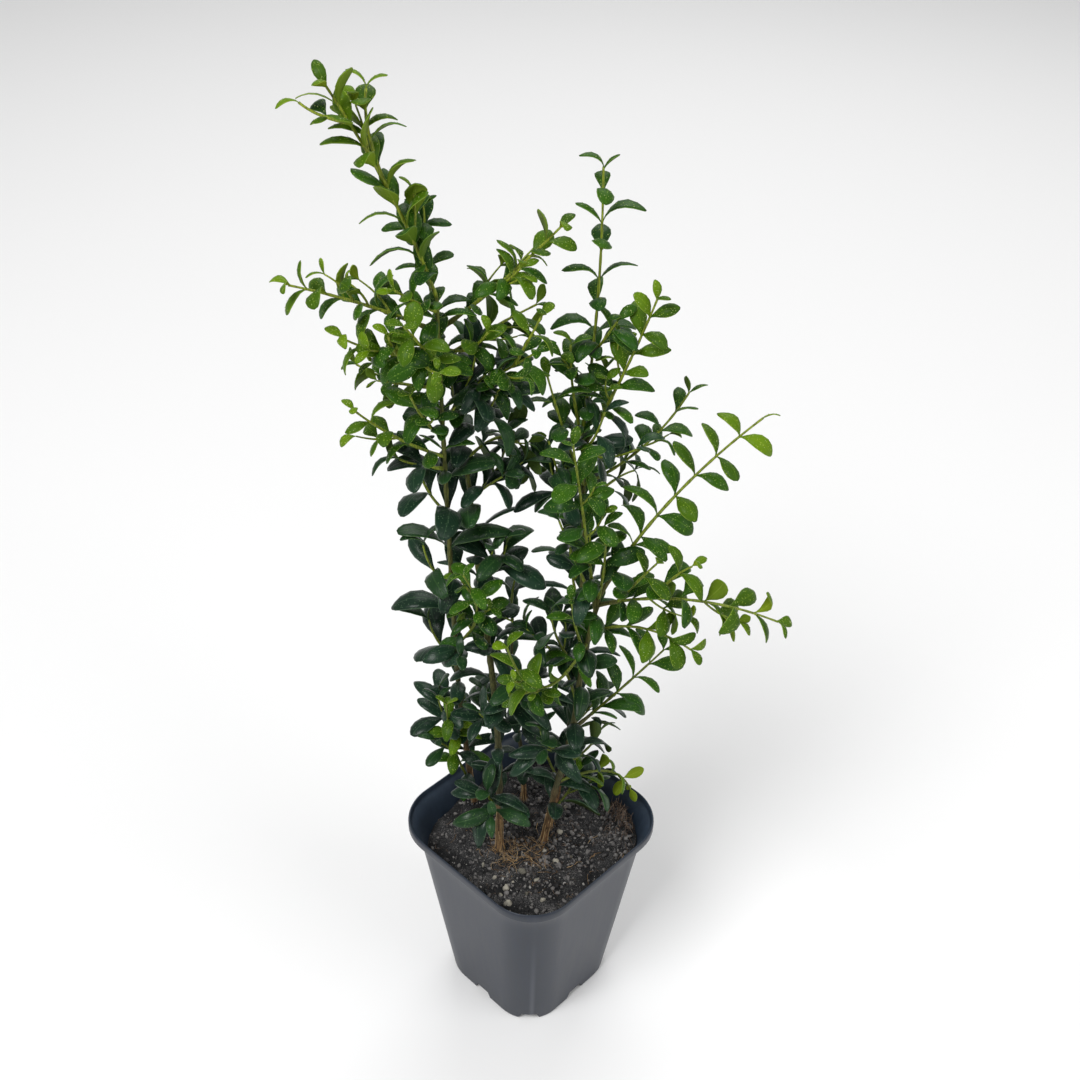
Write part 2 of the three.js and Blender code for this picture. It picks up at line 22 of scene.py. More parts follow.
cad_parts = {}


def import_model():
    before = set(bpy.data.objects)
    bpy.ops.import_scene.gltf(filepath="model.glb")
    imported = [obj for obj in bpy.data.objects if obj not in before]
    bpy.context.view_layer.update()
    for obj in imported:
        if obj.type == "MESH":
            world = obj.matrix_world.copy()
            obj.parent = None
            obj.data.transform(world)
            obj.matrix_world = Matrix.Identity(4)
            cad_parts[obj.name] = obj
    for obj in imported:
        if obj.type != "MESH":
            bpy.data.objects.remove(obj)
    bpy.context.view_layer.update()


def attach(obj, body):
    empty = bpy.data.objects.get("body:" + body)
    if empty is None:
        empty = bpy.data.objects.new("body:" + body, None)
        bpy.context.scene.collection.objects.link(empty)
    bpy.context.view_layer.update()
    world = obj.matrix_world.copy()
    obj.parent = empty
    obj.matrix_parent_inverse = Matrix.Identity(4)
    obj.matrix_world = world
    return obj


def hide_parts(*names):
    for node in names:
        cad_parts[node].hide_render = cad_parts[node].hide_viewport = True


Array = np.ndarray
Pair = tuple[float, float]
Triple = tuple[float, float, float]

LOG = logging.getLogger("boxwood")
METRES = 0.001
UP = np.array([0.0, 0.0, 1.0])
RIGHT = np.array([1.0, 0.0, 0.0])
# How deep the stems' feet lie in the soil, and the last share of a twig that may bear leaves.
FOOT_DEPTH = 3.0
LAST_SHARE = 0.985
# Where the seeds of the leaves on stems and on boughs start, clear of the shoots' own.
STEM_SEED = 9000
BOUGH_SEED = 7000


# Numbers and vectors


def linear(colour: str) -> tuple[float, float, float, float]:
    """Turns an sRGB hex colour into linear light.

    Args:
        colour: six hex digits.

    Returns:
        Red, green, blue and full opacity.
    """
    parts = np.array([int(colour[i:i + 2], 16) for i in (0, 2, 4)]) / 255
    light = np.where(parts <= 0.04045, parts / 12.92, ((parts + 0.055) / 1.055) ** 2.4)
    return (*light.tolist(), 1.0)


def chance(first: Array | float, second: Array | float) -> Array | float:
    """Gives a repeatable number from 0 to 1 for two numbers, the fraction of a large sine."""
    wave = np.sin(first * 12.9898 + second * 78.233) * 43758.5453
    return wave - np.floor(wave)


class Draw(IntEnum):
    """The second number of each kind of chance; a limb's keys are never a leaf's."""

    ANGLE = 1
    ROLL = 2
    LENGTH = 3
    SIDE = 4
    BEND = 5
    HOOK = 6
    WIDTH = 7
    DOME = 8
    TWIST = 9
    LIMB_TONE = 9
    TONE = 10
    YOUTH = 11
    BLUNT = 13


def spread(first: Array | float, second: Array | float) -> Array | float:
    """Gives a repeatable number from -1 to 1 for a pair of whole numbers."""
    return 2 * chance(first, second) - 1


def unit(vectors: Array) -> Array:
    """Scales vectors along the last axis to length one."""
    return vectors / np.linalg.norm(vectors, axis=-1, keepdims=True)


def blend(start: float, end: float, share: Array | float) -> Array | float:
    """Moves evenly from start to end as share goes from 0 to 1."""
    return start + (end - start) * share


def turn_about(vectors: Array, axes: Array, angles: Array) -> Array:
    """Turns vectors about unit axes by Rodrigues' formula.

    Args:
        vectors: one vector in each row.
        axes: one unit axis in each row.
        angles: one angle in radians for each row.

    Returns:
        The turned vectors.
    """
    cosine, sine = np.cos(angles)[..., None], np.sin(angles)[..., None]
    along = np.sum(vectors * axes, axis=-1, keepdims=True)
    return vectors * cosine + np.cross(axes, vectors) * sine + axes * along * (1 - cosine)


def smooth_noise(places: Array, seed: float) -> Array:
    """Gives smooth value noise from -1 to 1 over a plane.

    Each place reads the chance numbers at the four corners of its unit cell, eased by the curve
    3t^2 - 2t^3 from one corner to the next.

    Args:
        places: points of the plane, two numbers each, in cells.
        seed: a number that picks the pattern.

    Returns:
        One number for each place.
    """
    cell = np.floor(places)
    part = places - cell
    ease = part * part * (3 - 2 * part)
    corner = [[spread(cell[..., 0] + i + seed, cell[..., 1] + j) for i in (0, 1)] for j in (0, 1)]
    near = blend(corner[0][0], corner[0][1], ease[..., 0])
    far = blend(corner[1][0], corner[1][1], ease[..., 0])
    return blend(near, far, ease[..., 1])


# Meshes


@dataclass
class Shape:
    """A surface before it becomes a mesh.

    Attributes:
        points: vertices in millimetres.
        faces: arrays of vertex numbers, one array for each number of corners.
        finishes: for each of those arrays, the material slot of each face; the first by default.
        pattern: a place on the surface's own pattern for each vertex.
        tone: a number from 0 to 1 for each vertex or for all, which picks its shade.
    """

    points: Array
    faces: list[Array]
    finishes: list[Array] | None = None
    pattern: Array | None = None
    tone: Array | float = 0.0

    def __post_init__(self) -> None:
        """Fills in the finishes, the pattern and the tone where they were left out."""
        if self.finishes is None:
            self.finishes = [np.zeros(len(faces), int) for faces in self.faces]
        if self.pattern is None:
            self.pattern = np.zeros((len(self.points), 2))
        self.tone = np.broadcast_to(self.tone, len(self.points))


def join(shapes: list[Shape]) -> Shape:
    """Joins surfaces into one, with each one's faces counted on from those before it.

    Args:
        shapes: the surfaces.

    Returns:
        The joined surface.
    """
    starts = np.cumsum([0] + [len(shape.points) for shape in shapes])
    return Shape(
        np.concatenate([shape.points for shape in shapes]),
        [faces + start for shape, start in zip(shapes, starts) for faces in shape.faces],
        [finish for shape in shapes for finish in shape.finishes],
        np.concatenate([shape.pattern for shape in shapes]),
        np.concatenate([shape.tone for shape in shapes]),
    )


def lattice(rows: int, columns: int, ring: bool) -> Array:
    """Gives the four-cornered faces of a grid of vertices.

    The faces look along the cross product of the column direction and the row direction.

    Args:
        rows: how many rows of vertices there are.
        columns: how many vertices a row has.
        ring: whether the last column joins the first.

    Returns:
        One row of four vertex numbers for each face.
    """
    row = np.arange(rows - 1)[:, None] * columns
    column = np.arange(columns if ring else columns - 1)[None, :]
    after = (column + 1) % columns
    corners = [row + column, row + after, row + columns + after, row + columns + column]
    return np.stack(corners, axis=-1).reshape(-1, 4)


def grid(first: Array, second: Array) -> Array:
    """Pairs up two arrays, spread out to one shape."""
    return np.stack(np.broadcast_arrays(first, second), axis=-1)


def repeat_faces(faces: Array, count: int, size: int) -> Array:
    """Repeats the faces of one small surface of some vertices for many surfaces like it."""
    return (faces[None] + np.arange(count)[:, None, None] * size).reshape(-1, faces.shape[1])


def close_rings(rings: Array, pattern: Array, tone: Array | float) -> Shape:
    """Joins a stack of rings into a closed surface, with a flat face at each end.

    Args:
        rings: points by ring and place round it.
        pattern: a place on the pattern for each point.
        tone: the shade of each point or of all.

    Returns:
        The closed surface.
    """
    rows, count = rings.shape[:2]
    ends = np.stack([np.arange(count)[::-1], np.arange(count) + (rows - 1) * count])
    return Shape(rings.reshape(-1, 3), [lattice(rows, count, True), ends], None,
                 pattern.reshape(-1, 2), tone)


def carry(course: Course, shares: Array, radii: Array, tone: float) -> Shape:
    """Carries a round section along a course, closed at both ends.

    A point lies at the course's point plus radius times (normal cos a + binormal sin a), where
    the normal is the direction most square to all of the course, made square to its tangent.

    Args:
        course: the line to follow.
        shares: where the rings lie along it.
        radii: the radius for each ring and each angle.
        tone: the shade of the whole piece.

    Returns:
        The closed tube.
    """
    sides = radii.shape[1]
    centres, tangents = course.point(shares), course.tangent(shares)
    square = np.linalg.svd(tangents)[2][-1]
    normals = unit(square - tangents * (tangents @ square)[:, None])
    binormals = np.cross(tangents, normals)
    angles = np.arange(sides) * 2 * math.pi / sides
    points = (centres[:, None] + radii[..., None]
              * (normals[:, None] * np.cos(angles)[:, None]
                 + binormals[:, None] * np.sin(angles)[:, None]))
    lengths = np.concatenate([[0], np.cumsum(np.linalg.norm(np.diff(centres, axis=0), axis=1))])
    return close_rings(points, grid(lengths[:, None], np.arange(sides) / sides), tone)


def fibre(course: Course, rings: int, thick: float, taper: float, tone: float) -> Shape:
    """Makes a thin four-sided fibre along a course.

    Args:
        course: the line to follow.
        rings: how many rings it has.
        thick: its radius at the start.
        taper: the share of that radius that it loses on its way.
        tone: its shade.

    Returns:
        The fibre.
    """
    shares = np.linspace(0, 1, rings)
    radii = np.repeat(thick * (1 - taper * shares)[:, None], 4, axis=1)
    return carry(course, shares, radii, tone)


def make_mesh(name: str, shape: Shape, materials: list[bpy.types.Material]) -> bpy.types.Object:
    """Makes a smooth-shaded mesh object from a surface.

    Args:
        name: the object's name.
        shape: the surface in millimetres.
        materials: the materials that its finishes number.

    Returns:
        The object, at the origin with its place in its mesh.
    """
    loops = np.concatenate([faces.ravel() for faces in shape.faces]).astype(np.int32)
    sizes = np.concatenate([np.full(len(faces), faces.shape[1]) for faces in shape.faces])
    mesh = bpy.data.meshes.new(name)
    mesh.vertices.add(len(shape.points))
    mesh.vertices.foreach_set("co", (shape.points * METRES).astype(np.float32).ravel())
    mesh.loops.add(len(loops))
    mesh.loops.foreach_set("vertex_index", loops)
    mesh.polygons.add(len(sizes))
    mesh.polygons.foreach_set("loop_start", (np.cumsum(sizes) - sizes).astype(np.int32))
    finishes = np.concatenate(shape.finishes).astype(np.int32)
    mesh.polygons.foreach_set("material_index", finishes)
    mesh.polygons.foreach_set("use_smooth", np.ones(len(sizes), bool))
    mesh.update(calc_edges=True)
    layer = mesh.uv_layers.new(name="pattern")
    layer.data.foreach_set("uv", shape.pattern[loops].astype(np.float32).ravel())
    tone = mesh.attributes.new("tone", "FLOAT", "POINT")
    tone.data.foreach_set("value", shape.tone.astype(np.float32))
    for material in materials:
        mesh.materials.append(material)
    piece = bpy.data.objects.new(name, mesh)
    bpy.context.scene.collection.objects.link(piece)
    return piece


def seat(piece: bpy.types.Object, nodes: list[str]) -> None:
    """Makes a piece ride with the plant and stand for the solids that it dresses.

    Args:
        piece: the finished mesh object.
        nodes: the names of the solids that it replaces.
    """
    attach(piece, "root")
    if nodes:
        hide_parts(*nodes)
    LOG.info("%s: %d faces", piece.name, len(piece.data.polygons))


def solid_ball(finer: int) -> tuple[Array, Array]:
    """Gives a ball of equal triangles.

    It starts from the twelve corners of an icosahedron, and each finer step halves every edge and
    puts the new corner on the ball.

    Args:
        finer: how many times the edges are halved.

    Returns:
        Unit vectors, and three vertex numbers for each face.
    """
    golden = (1 + math.sqrt(5)) / 2
    pairs = [(a, b) for a in (-1, 1) for b in (-golden, golden)]
    corners = unit(np.array([(0, a, b) for a, b in pairs] + [(a, b, 0) for a, b in pairs]
                            + [(b, 0, a) for a, b in pairs]))
    near = 2 / math.sqrt(1 + golden ** 2) * 1.01
    count = len(corners)
    apart = np.linalg.norm(corners[:, None] - corners[None], axis=-1)
    faces = np.array([(i, j, k) for i in range(count) for j in range(i + 1, count)
                      for k in range(j + 1, count)
                      if max(apart[i, j], apart[j, k], apart[i, k]) < near])
    for _ in range(finer):
        edges = np.sort(np.concatenate([faces[:, [0, 1]], faces[:, [1, 2]], faces[:, [2, 0]]]))
        unique, number = np.unique(edges, axis=0, return_inverse=True)
        middle = number.reshape(3, -1).T + len(corners)
        corners = np.concatenate([corners, unit(corners[unique].sum(axis=1))])
        faces = np.concatenate([
            np.stack([faces[:, 0], middle[:, 0], middle[:, 2]], axis=1),
            np.stack([middle[:, 0], faces[:, 1], middle[:, 1]], axis=1),
            np.stack([middle[:, 2], middle[:, 1], faces[:, 2]], axis=1),
            middle,
        ])
    inward = np.sum(np.cross(corners[faces[:, 1]] - corners[faces[:, 0]],
                             corners[faces[:, 2]] - corners[faces[:, 0]])
                    * corners[faces].sum(axis=1), axis=1) < 0
    faces[inward] = faces[inward][:, ::-1]
    return corners, faces


# Materials


def per_metre(length: float, count: float = 1) -> float:
    """Gives the scale that puts some features of a pattern on a length in millimetres."""
    return count / (length * METRES)


# What add_node is once its tree is chosen.
Adder = Callable[..., bpy.types.NodeSocket | None]


def add_node(tree: bpy.types.NodeTree, kind: str, sockets: dict | list = (),
             output: int | str = 0, stops: tuple[tuple[float, str], ...] = (),
             **settings: object) -> bpy.types.NodeSocket | None:
    """Adds one shader node with its settings and links.

    Args:
        tree: the material's node tree.
        kind: the node's type, without the word that every shader node's type starts with.
        sockets: a value or a feeding output for each socket, by name or in the node's order.
        output: the name or number of the output to give back.
        stops: for a colour ramp, its places and colours.
        settings: the node's own properties.

    Returns:
        That output, or nothing for a node without outputs.
    """
    node = tree.nodes.new("ShaderNode" + kind)
    for name, value in settings.items():
        setattr(node, name, value)
    ramp = node.color_ramp.elements if stops else []
    while len(ramp) < len(stops):
        ramp.new(1.0)
    for element, (place, colour) in zip(ramp, stops):
        element.position = place
        element.color = linear(colour)
    for name, value in sockets.items() if isinstance(sockets, dict) else enumerate(sockets):
        if isinstance(value, bpy.types.NodeSocket):
            tree.links.new(value, node.inputs[name])
        else:
            node.inputs[name].default_value = value
    return node.outputs[output] if len(node.outputs) else None


@dataclass(frozen=True)
class Finish:
    """A finish made with one principled shader.

    Attributes:
        name: what the real material is.
    """

    name: str

    def sockets(self, node: Adder) -> dict:
        """Grows the pattern's nodes.

        Args:
            node: adds a node to the material's tree.

        Returns:
            What goes into each of the shader's sockets.
        """
        raise NotImplementedError

    def material(self) -> bpy.types.Material:
        """Makes the material with all its nodes."""
        material = bpy.data.materials.new(self.name)
        material.use_nodes = True
        material.node_tree.nodes.clear()
        node = partial(add_node, material.node_tree)
        node("OutputMaterial", {"Surface": node("BsdfPrincipled", self.sockets(node))})
        return material


@dataclass(frozen=True)
class LeafFinish(Finish):
    """The waxy upper or matt lower skin of a boxwood leaf.

    Its green runs from deep to light, with the vein's colour on the midrib and the margin's on
    the thin edge, a pale edge that is partly painted highlight. Coat is how much clear wax lies
    over it, and mist is how plainly the painted glints of the finest droplets show.
    """

    deep: str
    light: str
    vein: str
    margin: str
    roughness: float
    coat: float
    mist: float = 0.7

    def sockets(self, node: Adder) -> dict:
        """Gives wax over green, a pale midrib and margin, and faint side veins.

        Args:
            node: adds a node to the material's tree.

        Returns:
            What goes into each of the shader's sockets.
        """
        # Waxed leaf skin: a soft-edged highlight, a groove along the midrib and shallow veins.
        tone = node("Attribute", output="Fac", attribute_name="tone")
        place = node("TexCoord", output="Object")
        own = node("UVMap", uv_map="pattern")
        along, across = (node("SeparateXYZ", [own], axis) for axis in "XY")
        # Blotches about 4 mm across, broken up by five finer steps.
        blotch = node("TexNoise", {"Vector": place, "Scale": per_metre(4), "Detail": 5.0,
                                   "Roughness": 0.75})
        shade = node("Math", [blotch, 0.45, tone], operation="MULTIPLY_ADD")
        level = node("MapRange", [shade, 0.15, 1.25])
        colour = node("ValToRGB", [level], stops=((0.0, self.deep), (1.0, self.light)))
        # The midrib and the margin, by the distance from the middle as a share of the width.
        # The pale margin is the leaf's own edge colour and partly a painted highlight on the rim.
        offset = node("Math", [across, 0.5], operation="SUBTRACT")
        beside = node("Math", [offset], operation="ABSOLUTE")
        rib = node("MapRange", [beside, 0.008, 0.04, 0.5, 0.0])
        edge = node("MapRange", [beside, 0.462, 0.495, 0.0, 0.5])
        # Painted glints of fine droplets: pale dots in the margin's colour, 0.4 mm across, eleven
        # on every 12.5 mm.
        cells = node("TexVoronoi", {"Vector": place, "Scale": per_metre(12.5, 11)})
        mist = node("MapRange", [cells, 0.13, 0.23, self.mist, 0.0])
        for share, tint in ((rib, self.vein), (edge, self.margin), (mist, self.margin)):
            colour = node("Mix", {0: share, 6: colour, 7: linear(tint)}, 2, data_type="RGBA")
        # Side veins lean forward from the midrib, about fifteen to a side.
        lean = node("Math", [beside, -0.45, along], operation="MULTIPLY_ADD")
        wave = node("Math", [lean, 94.0], operation="MULTIPLY")
        veins = node("Math", [wave], operation="SINE")
        groove = node("Math", [rib, -2.5], operation="MULTIPLY")
        height = node("Math", [veins, 0.22, groove], operation="MULTIPLY_ADD")
        relief = node("Bump", {"Strength": 0.35, "Distance": 0.22 * METRES,
                               "Height": height})
        wax = node("MapRange", [blotch, 0.3, 0.7, self.roughness - 0.06, self.roughness + 0.08])
        return {"Base Color": colour, "Roughness": wax, "Normal": relief, "IOR": 1.42,
                "Specular IOR Level": 0.16, "Coat Weight": self.coat, "Coat Roughness": 0.24}


@dataclass(frozen=True)
class WoodFinish(Finish):
    """Bark or green twig skin, coloured by its height on the plant.

    The stops are shares of the way from the low to the high height, in millimetres, with their
    colours. The furrow is how deep the furrows are, in millimetres.
    """

    low: float
    high: float
    stops: tuple[tuple[float, str], ...]
    furrow: float
    roughness: float

    def sockets(self, node: Adder) -> dict:
        """Gives colours by height, streaks along the grain, and painted shade in the furrows
        between them.

        Args:
            node: adds a node to the material's tree.

        Returns:
            What goes into each of the shader's sockets.
        """
        # Young bark: dull, with lengthwise furrows, thirteen on 5 mm. Its colours are shifted by
        # up to 50 mm in patches of 17 mm and by up to 60 mm from limb to limb. On average that
        # adds 55 mm, so the range starts that much higher.
        place = node("TexCoord", output="Object")
        tone = node("Attribute", output="Fac", attribute_name="tone")
        height = node("SeparateXYZ", [place], "Z")
        shift = node("TexNoise", {"Vector": place, "Scale": per_metre(50, 3), "Detail": 2.0})
        moved = node("Math", [shift, 50 * METRES, height], operation="MULTIPLY_ADD")
        toned = node("Math", [tone, 60 * METRES, moved], operation="MULTIPLY_ADD")
        level = node("MapRange", [toned, (self.low + 55) * METRES, (self.high + 55) * METRES])
        colour = node("ValToRGB", [level], stops=self.stops)
        stretch = node("Mapping", {"Scale": (1.0, 1.0, 0.12), "Vector": place})
        grain = node("TexNoise", {"Vector": stretch, "Scale": per_metre(5, 13), "Detail": 3.0})
        # The grain that cuts the furrows also sets the colour: darker in them as painted shade,
        # lighter on the ridges as painted light, over the bark's own streaks.
        dark = node("MapRange", [grain, 0.35, 0.62, 0.38, 1.2])
        shaded = node("VectorMath", {0: colour, "Scale": dark}, operation="SCALE")
        relief = node("Bump", {"Strength": 0.7, "Distance": self.furrow * METRES,
                               "Height": grain})
        return {"Base Color": shaded, "Roughness": self.roughness, "Normal": relief}


@dataclass(frozen=True)
class PlasticFinish(Finish):
    """Moulded polypropylene of a nursery pot.

    Handling marks take it from its colour towards the scuffed one. A painted highlight runs down
    each corner as a pale line; it has a strength, half its width as a share of a quarter of the
    way round, and the shift that puts one on each corner, in quarters.
    """

    colour: str
    scuffed: str
    roughness: float
    line_strength: float = 0.0
    line_width: float = 0.05
    line_shift: float = -0.35
    line_colour: str = "5c6068"

    def sockets(self, node: Adder) -> dict:
        """Gives even grey with faint flow streaks, scuffs, a painted corner highlight and a fine
        grain.

        Args:
            node: adds a node to the material's tree.

        Returns:
            What goes into each of the shader's sockets.
        """
        # Thin-wall injection moulding: a satin skin, streaked along the flow from base to rim.
        place = node("TexCoord", output="Object")
        # Streaks, twelve on 25 mm and 70 mm long, and faint handling marks 20 mm across.
        stretch = node("Mapping", {"Scale": (1.0, 1.0, 0.03), "Vector": place})
        flow = node("TexNoise", {"Vector": stretch, "Scale": per_metre(25, 12), "Detail": 3.0})
        dust = node("TexNoise", {"Vector": place, "Scale": per_metre(20), "Detail": 2.0})
        both = node("Math", [dust, 0.3, flow], operation="MULTIPLY_ADD")
        colour = node("ValToRGB", [both], stops=((0.35, self.colour), (1.0, self.scuffed)))
        # A painted highlight: a pale line down each corner, strongest near the foot.
        own = node("UVMap", uv_map="pattern")
        around, up = (node("SeparateXYZ", [own], axis) for axis in "XY")
        quarters = node("Math", [around, 4.0, self.line_shift], operation="MULTIPLY_ADD")
        nearest = node("Math", [quarters, 0.5], operation="PINGPONG")
        painted_highlight = node("MapRange", [nearest, 0.0, self.line_width, self.line_strength, 0.0],
                        interpolation_type="SMOOTHSTEP")
        lower = node("MapRange", [up, 12.0, 75.0, 1.0, 0.08])
        line = node("Math", [painted_highlight, lower], operation="MULTIPLY")
        with_painted_highlight = node("Mix", {0: line, 6: colour, 7: linear(self.line_colour)}, 2,
                     data_type="RGBA")
        sheen = node("MapRange", [flow, 0.3, 0.7, self.roughness - 0.02, self.roughness + 0.02])
        # A fine grain, three on a millimetre.
        grain = node("TexNoise", {"Vector": place, "Scale": per_metre(1, 3), "Detail": 2.0})
        relief = node("Bump", {"Strength": 0.12, "Distance": 0.08 * METRES, "Height": grain})
        return {"Base Color": with_painted_highlight, "Roughness": sheen, "Normal": relief, "IOR": 1.49}


@dataclass(frozen=True)
class EarthFinish(Finish):
    """Potting soil, or the crumbs, grit and fibres that lie on it.

    The grain is the size of its colour grains, and the relief is how deep its bumps are, both in
    millimetres.
    """

    dark: str
    middle: str
    pale: str
    grain: float
    relief: float

    def sockets(self, node: Adder) -> dict:
        """Gives three colours, dealt out by noise and by each crumb's own tone.

        Args:
            node: adds a node to the material's tree.

        Returns:
            What goes into each of the shader's sockets.
        """
        # Damp peat and mineral grit: matt, with no highlight of its own.
        place = node("TexCoord", output="Object")
        tone = node("Attribute", output="Fac", attribute_name="tone")
        fleck = node("TexNoise", {"Vector": place, "Detail": 5.0, "Roughness": 0.7,
                                  "Scale": per_metre(self.grain)})
        mixed = node("Math", [tone, 0.5, fleck], operation="MULTIPLY_ADD")
        colour = node("ValToRGB", [mixed], stops=((0.47, self.dark), (0.68, self.middle),
                                                  (0.88, self.pale)))
        relief = node("Bump", {"Strength": 0.9, "Distance": self.relief * METRES,
                               "Height": fleck})
        return {"Base Color": colour, "Roughness": 0.9, "Normal": relief,
                "Specular IOR Level": 0.25}


@dataclass(frozen=True)
class WaterFinish(Finish):
    """Small drops of water that lie on a leaf."""

    name: str = "water drops on leaf"
    dim: str = "7f9c34"
    bright: str = "b6c880"

    def sockets(self, node: Adder) -> dict:
        """Gives leaf green seen through, with a painted glint in pale patches, and very smooth.

        Args:
            node: adds a node to the material's tree.

        Returns:
            What goes into each of the shader's sockets.
        """
        # Drops under a millimetre show only as pale glints, so they carry the leaf's green with a
        # painted glint in pale noisy patches.
        place = node("TexCoord", output="Object")
        painted_glint = node("TexNoise", {"Vector": place, "Scale": per_metre(2)})
        colour = node("ValToRGB", [painted_glint], stops=((0.35, self.dim), (0.65, self.bright)))
        return {"Base Color": colour, "Roughness": 0.06, "IOR": 1.33}


@dataclass(frozen=True)
class FloorFinish(Finish):
    """The plain pale floor of the studio."""

    name: str = "pale studio floor"
    colour: str = "f4f4f4"

    def sockets(self, node: Adder) -> dict:
        """Gives one matt pale colour."""
        return {"Base Color": linear(self.colour), "Roughness": 0.9, "Specular IOR Level": 0.1}


# Courses of stems and shoots


@dataclass(frozen=True)
class Course:
    """A smooth line through space, read at shares of its own parameter from 0 to 1."""

    points: Array

    def point(self, shares: Array) -> Array:
        """Gives the points at some shares."""
        raise NotImplementedError

    def tangent(self, shares: Array) -> Array:
        """Gives the line's directions, from points a little before and after each share.

        Args:
            shares: numbers from 0 to 1.

        Returns:
            One unit vector for each share.
        """
        shares = np.atleast_1d(shares)
        return unit(self.point(np.minimum(1, shares + 1e-4))
                    - self.point(np.maximum(0, shares - 1e-4)))

    def length(self) -> float:
        """Adds up the line's length over 200 short steps."""
        steps = self.point(np.linspace(0, 1, 201))
        return float(np.linalg.norm(np.diff(steps, axis=0), axis=1).sum())


@dataclass(frozen=True)
class StemCourse(Course):
    """A line through evenly numbered points, eased by the Catmull-Rom rule."""

    def point(self, shares: Array) -> Array:
        """Gives the points at some shares.

        Between two points the line is the cubic that meets both, with a slope at each of half
        the step from the point before it to the point after it.

        Args:
            shares: numbers from 0 to 1.

        Returns:
            One point for each share.
        """
        shares = np.atleast_1d(shares)
        knots = np.concatenate([[2 * self.points[0] - self.points[1]], self.points,
                                [2 * self.points[-1] - self.points[-2]]])
        place = np.clip(shares, 0, 1) * (len(self.points) - 1)
        first = np.minimum(place.astype(int), len(self.points) - 2)
        t = (place - first)[:, None]
        before, start, end, after = (knots[first + i] for i in range(4))
        leave, arrive = (end - before) / 2, (after - start) / 2
        return (start + leave * t + (3 * (end - start) - 2 * leave - arrive) * t ** 2
                + (2 * (start - end) + leave + arrive) * t ** 3)


@dataclass(frozen=True)
class ShootCourse(Course):
    """A line from a root past a knee to a tip, as a quadratic curve."""

    def point(self, shares: Array) -> Array:
        """Weighs root, knee and tip by (1-t)^2, 2t(1-t) and t^2 at each share t.

        Args:
            shares: numbers from 0 to 1.

        Returns:
            One point for each share.
        """
        t = np.atleast_1d(shares)[:, None]
        root, knee, tip = self.points
        return root * (1 - t) ** 2 + knee * 2 * t * (1 - t) + tip * t ** 2


@dataclass(frozen=True)
class WanderCourse(Course):
    """A line through many points, joined straight."""

    def point(self, shares: Array) -> Array:
        """Reads the points in between by even steps.

        Args:
            shares: numbers from 0 to 1.

        Returns:
            One point for each share.
        """
        places = np.linspace(0, 1, len(self.points))
        return np.stack([np.interp(np.atleast_1d(shares), places, self.points[:, axis])
                         for axis in range(3)], axis=1)


# Pot and soil


